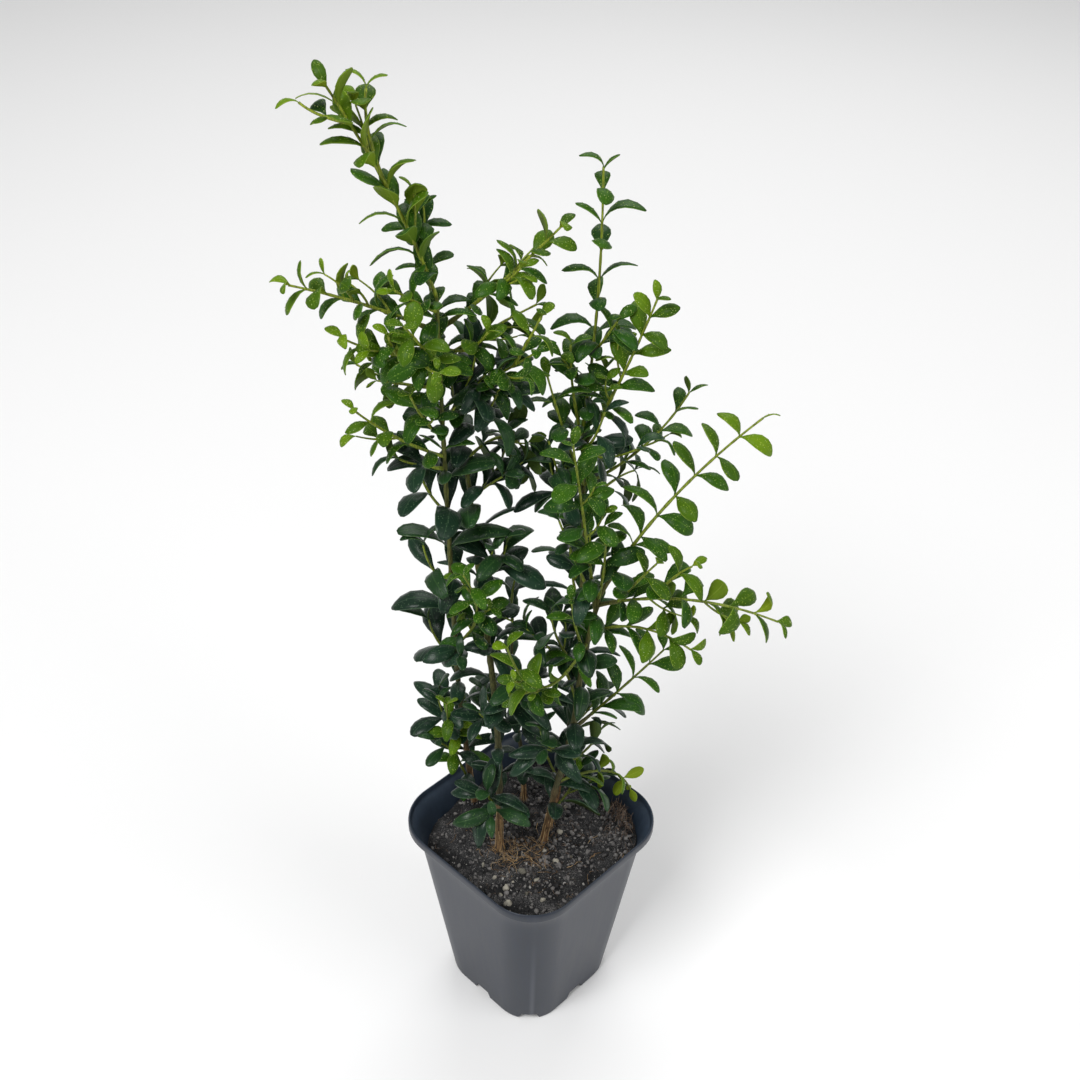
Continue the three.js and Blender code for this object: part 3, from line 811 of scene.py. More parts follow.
@dataclass
class Pot:
    """The square nursery pot: a tapering tub with rounded corners, a flared lip and notches.

    The flare is fullest at its foot on the outside, and its lag higher on the inside. The lip
    is a row of side, corner radius and height for each of its rings.
    """

    height: float = 100
    base_side: float = 61
    base_corner: float = 17.6
    shoulder_height: float = 93
    shoulder_side: float = 82.6
    shoulder_corner: float = 20
    flare_width: float = 6.2
    flare_foot: float = 95.5
    flare_length: float = 3.2
    flare_lag: float = 2.1
    wall: float = 1.2
    floor: float = 1.5
    notch_width: float = 11
    notch_top_width: float = 7
    notch_height: float = 4.5
    notch_reach: float = 7
    corner_steps: int = 18
    side_steps: int = 10
    sharp_angle: float = 38
    lip: tuple[Triple, ...] = (
        (89.6, 21.5, 95.6), (90.0, 21.6, 96.1), (90.0, 21.6, 98.9), (89.9, 21.6, 99.4),
        (89.6, 21.5, 99.8), (89.1, 21.3, 100.0), (88.6, 21.1, 99.9), (88.2, 21.0, 99.5),
        (87.9, 20.9, 98.9), (87.6, 20.8, 98.2),
    )

    def ring(self, sides: Array, corners: Array) -> Array:
        """Gives squares with rounded corners, turned so that a corner faces the viewer.

        Each quarter is an arc of the corner's radius, and then a straight run to the next arc.

        Args:
            sides: the width of each square.
            corners: the corner radius of each square.

        Returns:
            For each square, a closed ring of points in the plane.
        """
        arc = np.linspace(-0.25, 0.25, self.corner_steps + 1) * math.pi
        share = np.linspace(0, 1, self.side_steps + 1)[1:-1, None]
        centre = (sides / 2 - corners) * math.sqrt(2)
        facings = [quarter * math.pi / 2 + math.pi / 2 for quarter in range(4)]
        bows = [np.stack([centre[:, None] * wave(facing) + corners[:, None] * wave(facing + arc)
                          for wave in (np.cos, np.sin)], axis=-1) for facing in facings]
        runs = []
        for bow, following in zip(bows, [*bows[1:], bows[0]]):
            runs += [bow, blend(bow[:, -1:], following[:, :1], share)]
        return np.concatenate(runs, axis=1)

    def wall_at(self, heights: Array, inset: float) -> tuple[Array, Array]:
        """Gives the section of the wall, which tapers evenly from shoulder to base.

        Args:
            heights: the heights.
            inset: how far it is drawn in.

        Returns:
            The side and the corner radius at each height.
        """
        share = np.asarray(heights, float) / self.shoulder_height
        side = blend(self.base_side, self.shoulder_side, share) - 2 * inset
        return side, blend(self.base_corner, self.shoulder_corner, share) - inset

    def flared(self, heights: Array, inset: float, full: float) -> Array:
        """Gives the wall's section with its flare, which dies away down the wall.

        The flare adds flare_width e^((z - full) / flare_length) to the side at height z.

        Args:
            heights: the heights of the rows.
            inset: how far the wall is drawn in.
            full: the height at which the flare has its full width.

        Returns:
            Rows of side, corner radius and height.
        """
        side, corner = self.wall_at(heights, inset)
        flare = self.flare_width * np.exp((heights - full) / self.flare_length)
        return np.stack([side + flare, corner + flare / 4, heights], axis=1)

    def levels(self) -> Array:
        """Lists the pot's section from its underside, over the rim and down to its floor.

        Returns:
            Rows of side, corner radius and height.
        """
        rise = np.concatenate([[0.9, 2, 3, 4, 5, 6, 8], np.linspace(12, 80, 12),
                               [83, 85.5, 88, 90, 91.5, 92.8, 93.8, 94.6, 95.2]])
        foot = np.array([[self.base_side - 1.5, self.base_corner - 0.8, 0.0],
                         [self.base_side - 0.5, self.base_corner - 0.3, 0.25]])
        fall = np.array([97.5, 96.8, 96, 95, 93.8, 92.3, 90.5, 88, 85, 80, 60, 40, 20, 6, 2.6])
        outer = self.flared(rise, 0, self.flare_foot)
        inner = self.flared(fall, self.wall, self.flare_foot + self.flare_lag)
        side, corner = self.wall_at(np.array([self.floor]), self.wall + 1)
        bottom = np.stack([side, corner, np.array([self.floor])], axis=1)
        return np.concatenate([foot, outer, np.array(self.lip), inner, bottom])

    def tub(self) -> Shape:
        """Lofts the closed tub through its rings, with a flat underside and floor."""
        levels = self.levels()
        flat = self.ring(levels[:, 0], levels[:, 1])
        count = flat.shape[1]
        heights = np.broadcast_to(levels[:, 2][:, None, None], (*flat.shape[:2], 1))
        pattern = grid(np.arange(count) / count, levels[:, 2][:, None])
        tub = close_rings(np.concatenate([flat, heights], axis=-1), pattern, 0.5)
        inside = levels[:, 2].argmax()
        tub.finishes = [(tub.faces[0][:, 0] // count >= inside).astype(int), np.array([0, 1])]
        return tub

    def notches(self) -> Shape:
        """Makes the eight prisms that cut the drain notches out of the lower edge.

        Returns:
            The prisms, each narrower at its top, on the four corners and four sides.
        """
        half, top = self.notch_width / 2, self.notch_top_width / 2
        outline = np.array([[-half, -1.0], [half, -1.0], [top, self.notch_height],
                            [-top, self.notch_height]])
        side_distance = self.base_side / 2 - self.notch_reach
        corner_distance = (self.base_side / math.sqrt(2)
                           - self.base_corner * (math.sqrt(2) - 1) - self.notch_reach)
        faces = np.array([[0, 1, 2, 3], [7, 6, 5, 4], [1, 0, 4, 5], [2, 1, 5, 6],
                          [3, 2, 6, 7], [0, 3, 7, 4]])
        prisms = []
        for eighth in range(8):
            near = corner_distance if eighth % 2 == 0 else side_distance
            angle = eighth * math.pi / 4
            out = np.array([math.cos(angle), math.sin(angle), 0])
            across = np.array([-math.sin(angle), math.cos(angle), 0])
            ends = [out * reach + across * outline[:, :1] + UP * outline[:, 1:]
                    for reach in (near + 2 * self.notch_reach, near)]
            prisms.append(Shape(np.concatenate(ends), [faces]))
        return join(prisms)

    def build(self) -> None:
        """Cuts the notches out of the tub and dresses it."""
        # The outside carries the painted corner highlight, at strength 0.45 and half width 0.04.
        outside = PlasticFinish("moulded polypropylene, outside", "1b222d", "262d3b", 0.42, 0.45,
                                0.04)
        # The inside is the same plastic; this bluer copy of its finish paints the navy cast of the
        # shade inside the tub, from the top of the rim down.
        inside = PlasticFinish("moulded polypropylene, inside", "24303e", "2d3b4b", 0.5)
        skins = [outside.material(), inside.material()]
        pot = make_mesh("pot_shell", self.tub(), skins)
        cutter = make_mesh("pot_cutter", self.notches(), skins[:1])
        cut = pot.modifiers.new("notches", "BOOLEAN")
        cut.object = cutter
        cut.solver = "EXACT"
        carved = bpy.data.meshes.new_from_object(
            pot.evaluated_get(bpy.context.evaluated_depsgraph_get()))
        pot.modifiers.clear()
        pot.data = carved
        bpy.data.objects.remove(cutter)
        carved.set_sharp_from_angle(angle=math.radians(self.sharp_angle))
        seat(pot, ["pot"])


@dataclass
class Soil:
    """Dark potting soil with crumbs, grit, rootlets and a tuft of dead moss.

    The foot is its underside, the gap is measured from the pot's outer skin, and the fall reach
    is the distance from the middle at which it has fallen by its crown. A pebble is its place
    and its radius. A kind of lump is its size and its height. The heap and the hollow are their
    middle, their reach each way and their height. Radii are the smallest and the largest.
    """

    pot: Pot
    level: float = 87
    crown: float = 1.2
    fall_reach: float = 42
    foot: float = 1.8
    gap: float = 1.5
    rings: int = 70
    seed: int = 5
    rootlet_radii: Pair = (0.06, 0.13)
    stub_place: Pair = (39, 8)
    stub_fibres: int = 70
    stub_radii: Pair = (0.1, 0.34)
    heap: tuple[Pair, Pair, float] = ((41, 9), (7, 13), 4.5)
    hollow: tuple[Pair, Pair, float] = ((-50, -2), (15, 22), -7)
    pebbles: tuple[Triple, ...] = (
        (-4, -21, 2.1), (11, -16, 1.4), (-11, -30, 1.6), (-16, -25, 1.3), (-10, -38, 1.6),
        (5, -36, 1.4), (2, -26, 1.3), (6, -10, 1.3), (13, 1, 1.2), (-11, 15, 1.3), (16, 17, 1.1),
        (-2, -33, 0.9), (-13, -33, 0.9), (-8, -26, 0.8), (18, -12, 0.9), (-21, -17, 0.9),
    )
    lump_sizes: tuple[Pair, ...] = (
        (14, 0.9), (6, 0.9), (2.6, 0.75), (1.3, 0.45))

    def height(self, places: Array) -> Array:
        """Gives the soil's height over the plane.

        It starts 0.2 mm over the level and falls by the cube of the way to the wall. It has
        lumps of four sizes, a heap beside the right wall and a hollow in the left corner. Both
        of those fade as e^(-d^2), with d the distance in reaches.

        Args:
            places: points of the plane in millimetres.

        Returns:
            The height at each place.
        """
        away = np.linalg.norm(places, axis=-1) / self.fall_reach
        height = self.level + 0.2 - self.crown * np.clip(away, 0, 1.3) ** 3
        for number, (size, rise) in enumerate(self.lump_sizes):
            height = height + rise * smooth_noise(places / size, number * 31.0)
        for middle, reach, rise in (self.heap, self.hollow):
            near = np.linalg.norm((places - np.array(middle)) / np.array(reach), axis=-1)
            height = height + rise * np.exp(-near ** 2)
        return height

    def outline(self) -> Array:
        """Gives the ring where the soil meets the wall."""
        side, corner = self.pot.wall_at(np.array([self.level]), self.gap)
        return self.pot.ring(side, corner)[0]

    def hold_inside(self, places: Array, margin: float) -> Array:
        """Draws places in towards the middle until they lie inside the wall.

        Args:
            places: points of the plane, one in each row.
            margin: how far from the wall they stay.

        Returns:
            The places, moved where they had to be.
        """
        rim = self.outline()
        facing = np.arctan2(rim[:, 1], rim[:, 0])
        order = np.argsort(facing)
        away = np.maximum(np.linalg.norm(places, axis=1), 1e-6)
        limit = np.interp(np.arctan2(places[:, 1], places[:, 0]), facing[order],
                          np.linalg.norm(rim, axis=1)[order], period=2 * math.pi) - margin
        return places * np.minimum(1, limit / away)[:, None]

    def surface(self) -> Shape:
        """Makes the soil's top as rings drawn in from the wall, and its sides down to the floor.

        Returns:
            The closed surface.
        """
        rim = self.outline()
        count = len(rim)
        shares = 1 - np.linspace(0, 1, self.rings) ** 1.05 * 0.99
        flat = rim[None] * shares[:, None, None]
        top = np.concatenate([flat, self.height(flat)[..., None]], axis=-1)
        side, corner = self.pot.wall_at(np.array([self.foot]), self.gap)
        low = self.pot.ring(side, corner)[0]
        foot = np.concatenate([low, np.full((count, 1), self.foot)], axis=1)
        rings = np.concatenate([foot[None], top])
        flat = rings.reshape(-1, 3)[:, :2]
        return close_rings(rings, flat / 10, 0.25 + 0.25 * smooth_noise(flat / 5, 3.0))

    def scatter(self, count: int, middle: Pair, reach: Pair,
                sizes: Pair, finer: int, seed: int) -> Shape:
        """Strews crumbs over the soil.

        Sizes are dealt out so that small crumbs are far more common than large ones.

        Args:
            count: how many crumbs there are.
            middle: where they lie thickest.
            reach: how far they lie from there each way.
            sizes: the smallest and largest radius.
            finer: how fine the balls are.
            seed: a number that picks the pattern.

        Returns:
            The crumbs as one surface.
        """
        random = np.random.default_rng(seed)
        places = random.normal(0, 1, (count * 3, 2)) * reach + middle
        inside = np.all(self.hold_inside(places, 1.2) == places, axis=1)
        places = places[inside][:count]
        return self.lumps(places, blend(*sizes, random.random(len(places)) ** 3), finer, seed)

    def lumps(self, places: Array, radii: Array, finer: int, seed: int) -> Shape:
        """Lays a ball at each place, drawn into its own lumpy shape.

        Args:
            places: points of the plane.
            radii: the balls' radii.
            finer: how fine the balls are.
            seed: a number that picks the shapes.

        Returns:
            The balls as one surface.
        """
        random = np.random.default_rng(seed + 100)
        corners, faces = solid_ball(finer)
        rough = 1 + random.normal(0, 0.2, (len(places), len(corners), 1))
        shape = unit(random.normal(0, 1, (len(places), 3, 3)))
        stretch = random.uniform(0.5, 1.25, (len(places), 1, 3))
        balls = corners[None] * rough * stretch * radii[:, None, None]
        frames = np.stack([shape[:, 0], unit(np.cross(shape[:, 0], shape[:, 1]))], axis=1)
        third = np.cross(frames[:, 0], frames[:, 1])
        turned = (balls[..., :1] * frames[:, None, 0] + balls[..., 1:2] * frames[:, None, 1]
                  + balls[..., 2:] * third[:, None])
        lift = self.height(places) + radii * random.uniform(0.1, 0.7, len(places))
        points = turned + np.concatenate([places, lift[:, None]], axis=1)[:, None]
        triangles = repeat_faces(faces, len(places), len(corners))
        return Shape(points.reshape(-1, 3), [triangles],
                     tone=np.repeat(random.random(len(places)), len(corners)))

    def fibres(self, count: int, middle: Pair, reach: Pair,
               lengths: Pair, lift: float, seed: int) -> Shape:
        """Lays thin rootlets on the soil, each curling over it with a low hump.

        A rootlet turns by a wave as it goes, and rises by lift times the sine of its length.

        Args:
            count: how many there are.
            middle: where they lie thickest.
            reach: how far they lie from there each way.
            lengths: the shortest and longest of them.
            lift: how high a hump may rise.
            seed: a number that picks the pattern.

        Returns:
            The rootlets as one surface.
        """
        random = np.random.default_rng(seed)
        tubes = []
        rings = 13
        steps = np.linspace(0, 1, rings)
        for _ in range(count):
            start = random.normal(0, 1, 2) * reach + middle
            heading = random.uniform(0, 2 * math.pi) + random.normal(0, 1.1) * np.sin(
                steps * random.uniform(2, 6) + random.uniform(0, 6))
            stride = random.uniform(*lengths) / (rings - 1)
            flat = self.hold_inside(start + np.cumsum(
                np.stack([np.cos(heading), np.sin(heading)], axis=1), axis=0) * stride, 0.5)
            rise = random.random() * lift * np.sin(steps * math.pi) + 0.15
            course = WanderCourse(np.column_stack([flat, self.height(flat) + rise]))
            tubes.append(fibre(course, rings, random.uniform(*self.rootlet_radii), 0.6,
                               random.random()))
        return join(tubes)

    def stub(self) -> Shape:
        """Makes the frayed stub of an old root that leans on the right wall.

        Returns:
            A bundle of stiff upright fibres.
        """
        random = np.random.default_rng(self.seed + 40)
        tubes = []
        for _ in range(self.stub_fibres):
            foot = np.array(self.stub_place) + random.normal(0, 1, 2) * (2.2, 5.0)
            top = foot + random.normal(0, 1, 2) * (1.6, 3.0) + (1.5, 1.0)
            low = self.height(foot[None])[0] - 1
            high = low + random.uniform(2, 7)
            course = ShootCourse(np.array([[*foot, low], [*(foot * 0.6 + top * 0.4), high],
                                           [*top, high - random.uniform(-2, 2)]]))
            tubes.append(fibre(course, 7, random.uniform(*self.stub_radii), 0.7,
                               random.random()))
        return join(tubes)

    def build(self) -> None:
        """Makes and dresses the soil and all that lies on it."""
        spots = np.array(self.pebbles)
        made = (
            ("surface", ("damp potting soil", "1a1b1c", "363637", "8a8785", 0.5, 1.2),
             [self.surface()]),
            ("crumbs", ("peat crumbs", "1f1f20", "3d3c3d", "7c7977", 0.4, 0.5),
             [self.scatter(2600, (0, 0), (26, 26), (0.2, 1.25), 0, self.seed),
              self.scatter(420, (40, 8), (4, 9), (0.3, 1.3), 0, self.seed + 1)]),
            ("grit", ("mineral grit", "4a4947", "716f6d", "aaa7a2", 0.5, 0.2),
             [self.scatter(120, (-2, -22), (15, 9), (0.25, 0.8), 0, self.seed + 2),
              self.scatter(1500, (4, -3), (26, 25), (0.1, 0.36), 0, self.seed + 3)]),
            ("pebbles", ("pale pebbles", "4c4a42", "757267", "a5a093", 0.8, 0.4),
             [self.lumps(spots[:, :2], spots[:, 2], 1, self.seed + 4)]),
            ("rootlets", ("dry rootlets", "6a4e34", "a08058", "ccae84", 1.0, 0.1),
             [self.fibres(90, (-5, -11), (6, 2.4), (4, 13), 2.4, self.seed + 5),
              self.fibres(40, (4, -8), (24, 22), (3, 9), 1.2, self.seed + 6)]),
            ("moss", ("dead moss", "2a2321", "57493f", "8c7868", 0.5, 0.3),
             [self.stub(), self.fibres(90, (41, 8), (3.5, 8), (3, 9), 3.5, self.seed + 7),
              self.fibres(420, (4, -2), (26, 24), (1, 4.5), 0.7, self.seed + 8)]),
        )
        for name, finish, shapes in made:
            piece = make_mesh(f"soil_{name}", join(shapes), [EarthFinish(*finish).material()])
            seat(piece, ["soil"] if name == "surface" else [])


# The plant


class Age(Enum):
    """How old a shoot's leaves are: the youth of its lowest and highest leaves, from 0 to 1."""

    BRIGHT = (0.6, 0.95)
    YOUNG = (0.48, 0.84)
    FRESH = (0.3, 0.6)
    DARK = (0.02, 0.18)


class Display(Enum):
    """How a shoot holds its leaves: which way they face, and how far they turn into a plane."""

    AROUND = ((0.0, 0.3, 0.95), 0.0)
    VIEWER = ((0.0, -0.7, 0.7), 1.6)
    AWAY = ((0.0, 0.8, 0.6), 0.0)


@dataclass(frozen=True)
class Shoot:
    """One leafy shoot, by the same rule as the solid that it dresses.

    Attributes:
        name: the solid's name.
        on: the stem or shoot that carries it.
        at: the share of its carrier at which it leaves.
        knee: the point that it bends towards.
        tip: where it ends.
        pairs: how many pairs of leaves it bears.
        leaf: leaf length at its foot and at its tip.
        age: how old its leaves are.
        opening: the angle between the shoot and its leaves, in degrees.
        display: how it holds them.
        bough: the share of it that is bare limb.
        twigs: the shares at which side twigs leave it.
        finer: the shares at which finer twigs leave it, which the solid doesn't have.
    """

    name: str
    on: str
    at: float
    knee: Triple
    tip: Triple
    pairs: int
    leaf: Pair
    age: Age
    opening: float = 58
    display: Display = Display.AROUND
    bough: float = 0.0
    twigs: tuple[float, ...] = ()
    finer: tuple[float, ...] = ()


@dataclass(frozen=True)
class LeafRun:
    """Leaf pairs that stand straight on a stem.

    Attributes:
        start: the share of the stem where they start.
        end: the share where they end.
        pairs: how many pairs there are.
        leaf: leaf length at the start and at the end.
        youth: how young the leaves are at the start and at the end.
    """

    start: float
    end: float
    pairs: int
    leaf: Pair
    youth: Pair


@dataclass(frozen=True)
class Stem:
    """One stem, by the same rule as its solid.

    Attributes:
        course: the points that it passes, seen from above.
        top: the height of its top.
        foot: its radius at the soil.
        tip: its radius at the top.
        runs: the leaf pairs that stand straight on it.
    """

    course: tuple[Pair, ...]
    top: float
    foot: float
    tip: float
    runs: tuple[LeafRun, ...] = ()


@dataclass(frozen=True)
class Sprig:
    """A dark sprig on the older wood: its compass turn, its reach, its rise and its pairs."""

    on: str
    at: float
    turn: float
    out: float
    up: float
    pairs: int = 4


STEMS = {
    "stem_left": Stem(((-26, 21), (-31, 16), (-33, 9), (-34, 1), (-35, -2)), 357, 2.1, 1.0,
                      (LeafRun(0.06, 0.36, 6, (15, 20), (0.02, 0.1)),
                       LeafRun(0.36, 0.72, 6, (25, 21), (0.02, 0.14)),
                       LeafRun(0.72, 1.0, 9, (14, 12), (0.3, 0.6)))),
    "stem_front": Stem(((-14, -8), (-15, -1), (-22, 11), (-29, 16), (-40, 10)), 368, 2.5, 1.0,
                       (LeafRun(0.1, 0.5, 10, (15, 19), (0.02, 0.08)),
                        LeafRun(0.5, 0.75, 6, (23, 19), (0.02, 0.2)),
                        LeafRun(0.75, 1.0, 9, (15, 12), (0.25, 0.58)))),
    "stem_right": Stem(((5, -4), (10, -5), (16, -7), (19, -8), (24, -10)), 235, 2.4, 1.5,
                       (LeafRun(0.16, 0.5, 5, (15, 18), (0.02, 0.08)),
                        LeafRun(0.5, 1.0, 8, (19, 16), (0.04, 0.42)))),
    "stem_rear": Stem(((8, 5), (15, 8), (18, 13), (19, 20), (17, 24)), 289, 2.0, 1.1,
                      (LeafRun(0.06, 0.4, 7, (15, 18), (0.02, 0.08)),
                       LeafRun(0.4, 1.0, 12, (19, 15), (0.05, 0.5)))),
    "stem_short": Stem(((-3, 22), (-4, 23), (-7, 24), (-9, 25), (-9, 26)), 192, 1.7, 0.9,
                       (LeafRun(0.12, 0.5, 4, (14, 15), (0.02, 0.08)),
                        LeafRun(0.5, 1.0, 5, (17, 14), (0.05, 0.2)))),
}

SHOOTS = (
    Shoot("crown_left", "stem_left", 1, (-45, -7, 394), (-65, -14, 432), 11, (16, 13), Age.YOUNG,
          35, twigs=(0.3, 0.7)),
    Shoot("crown_front", "stem_front", 1, (-42, 11, 373), (-43, 10, 378), 3, (15, 11), Age.FRESH,
          twigs=(0.1,)),
    Shoot("crown_right", "stem_right", 1, (42, -13, 283), (76, -18, 321), 7, (18, 11), Age.YOUNG,
          62, Display.VIEWER, bough=0.28),
    Shoot("crown_rear", "stem_rear", 1, (22, 22, 344), (20, 20, 394), 10, (15, 13), Age.FRESH,
          50, Display.AWAY, twigs=(0.1,)),
    Shoot("crown_short", "stem_short", 1, (-10, 27, 204), (-8, 27, 214), 3, (17, 14), Age.DARK),
    Shoot("left_high", "stem_left", 0.95, (-56, -6, 357), (-82, -12, 366), 7, (13, 11), Age.YOUNG,
          bough=0.25, twigs=(0.35, 0.6), finer=(0.5,)),
    Shoot("left_upper", "stem_left", 0.92, (-50, -10, 337), (-65, -18, 350), 5, (14, 12),
          Age.YOUNG, twigs=(0.25, 0.5), finer=(0.35,)),
    Shoot("left_forward", "stem_left", 0.885, (-38, -14, 344), (-44, -28, 360), 5, (13, 10),
          Age.YOUNG, finer=(0.35,)),
    Shoot("left_middle", "stem_left", 0.87, (-49, 5, 317), (-65, 12, 323), 4, (14, 11), Age.FRESH,
          finer=(0.4,)),
    Shoot("left_rising", "stem_left", 0.79, (-41, -8, 312), (-44, -16, 327), 4, (13, 11),
          Age.FRESH, finer=(0.4,)),
    Shoot("left_low", "stem_left", 0.76, (-51, -6, 302), (-64, -12, 319), 5, (13, 10), Age.YOUNG,
          twigs=(0.5,)),
    Shoot("front_high", "stem_front", 0.89, (-13, 11, 355), (6, 8, 378), 7, (14, 11), Age.YOUNG,
          bough=0.2, twigs=(0.3, 0.45), finer=(0.6,)),
    Shoot("front_back", "stem_front", 0.85, (-19, 22, 332), (-1, 30, 338), 4, (16, 14), Age.FRESH,
          twigs=(0.35,), finer=(0.6,)),
    Shoot("front_reach", "stem_front", 0.78, (-16, 8, 321), (-2, -2, 336), 5, (14, 12), Age.FRESH,
          twigs=(0.3, 0.6), finer=(0.45,)),
    Shoot("front_arch", "stem_front", 0.69, (-9, 22, 298), (-3, 26, 272), 4, (18, 15), Age.DARK,
          finer=(0.4,)),
    Shoot("left_viewer", "stem_left", 0.39, (-16, -9, 223), (-27, -25, 257), 7, (13, 12),
          Age.FRESH, twigs=(0.3,), finer=(0.55, 0.75)),
    Shoot("left_foot", "stem_left", 0.06, (-36, 8, 132), (-36, -3, 172), 6, (14, 11), Age.YOUNG,
          finer=(0.6,)),
    Shoot("right_viewer", "stem_right", 0.84, (1, -30, 184), (-11, -38, 234), 6, (14, 12),
          Age.YOUNG, twigs=(0.4,), finer=(0.55, 0.75)),
    Shoot("right_inner", "stem_right", 0.61, (12, -3, 205), (-12, 2, 214), 5, (16, 14), Age.DARK,
          finer=(0.35, 0.65)),
    Shoot("right_rising", "stem_right", 0.95, (17, -17, 274), (11, -26, 315), 7, (16, 12),
          Age.FRESH, 55, Display.VIEWER, bough=0.2, twigs=(0.45,), finer=(0.3, 0.65)),
    Shoot("right_thin", "stem_right", 0.8, (14, -16, 225), (13, -20, 242), 3, (11, 9), Age.FRESH),
    Shoot("right_level", "stem_right", 0.97, (55, -20, 249), (89, -30, 240), 7, (16, 13),
          Age.YOUNG, 58, bough=0.14, twigs=(0.3, 0.6)),
    Shoot("right_forward", "stem_right", 0.87, (38, -17, 233), (58, -30, 226), 5, (14, 12),
          Age.YOUNG, 50, Display.VIEWER),
    Shoot("right_lower", "stem_right", 0.51, (36, -1, 178), (53, 5, 195), 5, (17, 13), Age.FRESH,
          50, Display.VIEWER, bough=0.2),
    Shoot("right_foot", "stem_right", 0.29, (37, 4, 134), (44, 8, 109), 5, (13, 9), Age.BRIGHT),
    Shoot("rear_high", "stem_rear", 0.96, (31, 17, 315), (40, 10, 351), 7, (14, 12), Age.YOUNG,
          50, Display.VIEWER, bough=0.25, twigs=(0.5,), finer=(0.35,)),
    Shoot("rear_reach", "stem_rear", 0.88, (44, 26, 277), (57, 30, 302), 6, (14, 12), Age.FRESH,
          finer=(0.5,)),
    Shoot("rear_back", "stem_rear", 0.83, (30, 32, 262), (39, 36, 262), 3, (17, 15), Age.DARK),
)

SPRIGS = (
    Sprig("stem_left", 0.2, 215, 12, 22), Sprig("stem_left", 0.36, 175, 11, 20, 2),
    Sprig("stem_left", 0.52, 200, 11, 22, 2), Sprig("stem_left", 0.66, 165, 12, 24, 2),
    Sprig("stem_left", 0.82, 20, 13, 26), Sprig("stem_front", 0.12, 250, 14, 17),
    Sprig("stem_front", 0.3, 320, 14, 22), Sprig("stem_front", 0.5, 330, 12, 22),
    Sprig("stem_front", 0.63, 20, 15, 24), Sprig("stem_front", 0.76, 345, 17, 26),
    Sprig("stem_right", 0.16, 30, 14, 20), Sprig("stem_right", 0.42, 215, 14, 20),
    Sprig("stem_right", 0.74, 170, 13, 26), Sprig("stem_rear", 0.25, 60, 14, 24),
    Sprig("stem_rear", 0.6, 110, 14, 24), Sprig("stem_rear", 0.82, 200, 15, 28),
    Sprig("stem_short", 0.45, 190, 14, 22),
)


# Finer shoots that the solids don't have. Each belongs to the mass that it is named for and
# stays within its reach.
FINER_SHOOTS = (
    Shoot("crown_left", "crown_left", 0.55, (-56, -7, 416), (-54, -5, 428), 4, (13, 12),
          Age.YOUNG, 34),
    Shoot("crown_left", "crown_left", 0.84, (-68, -14, 422), (-73, -15, 427), 2, (9, 10),
          Age.YOUNG),
    Shoot("left_forward", "left_forward", 0.5, (-40, -20, 340), (-34, -26, 342), 3, (13, 11),
          Age.YOUNG),
    Shoot("left_low", "stem_left", 0.74, (-44, -1, 288), (-50, -2, 292), 2, (20, 18), Age.DARK),
    Shoot("front_reach", "front_reach", 0.75, (-5, 0, 338), (0, 0, 349), 3, (12, 10),
          Age.YOUNG),
    Shoot("front_reach", "stem_front", 0.73, (-20, 8, 300), (-15, 4, 316), 3, (16, 14),
          Age.DARK),
    Shoot("front_arch", "stem_front", 0.63, (-18, 9, 274), (-13, 5, 280), 2, (20, 18),
          Age.DARK),
    Shoot("crown_rear", "stem_rear", 0.88, (10, 16, 290), (3, 13, 318), 5, (16, 13), Age.FRESH),
    Shoot("crown_rear", "stem_rear", 0.97, (11, 17, 312), (11, 15, 330), 4, (14, 12),
          Age.FRESH),
    Shoot("crown_rear", "stem_rear", 0.8, (10, 18, 262), (4, 14, 290), 4, (17, 14), Age.DARK),
    Shoot("right_inner", "stem_right", 0.97, (16, -8, 245), (8, -6, 268), 4, (15, 14),
          Age.DARK),
    Shoot("rear_reach", "stem_rear", 0.95, (26, 17, 278), (37, 12, 288), 3, (20, 17), Age.DARK),
    Shoot("rear_reach", "stem_rear", 0.97, (20, 12, 286), (24, 9, 306), 3, (18, 15), Age.DARK),
    Shoot("crown_rear", "crown_rear", 0.16, (11, 17, 318), (8, 13, 326), 3, (15, 13), Age.FRESH),
    Shoot("crown_rear", "crown_rear", 0.3, (24, 18, 332), (27, 14, 340), 3, (14, 12), Age.FRESH),
    Shoot("left_upper", "stem_left", 0.98, (-42, -8, 358), (-48, -11, 364), 4, (13, 11),
          Age.YOUNG),
    Shoot("left_upper", "left_upper", 0.35, (-48, -16, 340), (-50, -20, 352), 3, (13, 11),
          Age.YOUNG),
    Shoot("front_high", "front_high", 0.45, (-12, 6, 358), (-7, 2, 366), 3, (13, 11),
          Age.YOUNG),
    Shoot("front_reach", "stem_front", 0.86, (-24, 6, 330), (-18, -2, 344), 4, (13, 11),
          Age.YOUNG),
    Shoot("crown_right", "stem_right", 0.99, (26, -16, 256), (24, -17, 274), 4, (16, 13),
          Age.FRESH, 58, Display.VIEWER),
    Shoot("right_level", "right_level", 0.12, (38, -20, 252), (43, -24, 262), 3, (14, 12),
          Age.YOUNG),
    Shoot("right_level", "right_level", 0.32, (50, -22, 256), (56, -24, 261), 3, (14, 12),
          Age.YOUNG),
    Shoot("left_viewer", "stem_left", 0.4, (-30, -4, 200), (-29, -14, 208), 2, (18, 16),
          Age.DARK),
    Shoot("sprig_6", "stem_front", 0.28, (-19, -8, 165), (-22, -12, 175), 3, (16, 14),
          Age.DARK),
    Shoot("sprig_1", "stem_left", 0.12, (-37, 8, 136), (-41, 0, 147), 3, (15, 13), Age.DARK),
    Shoot("sprig_11", "stem_right", 0.36, (24, 0, 140), (29, 5, 148), 3, (15, 13), Age.DARK),
    Shoot("sprig_14", "stem_rear", 0.15, (8, 14, 118), (4, 18, 130), 3, (15, 13), Age.DARK),
)


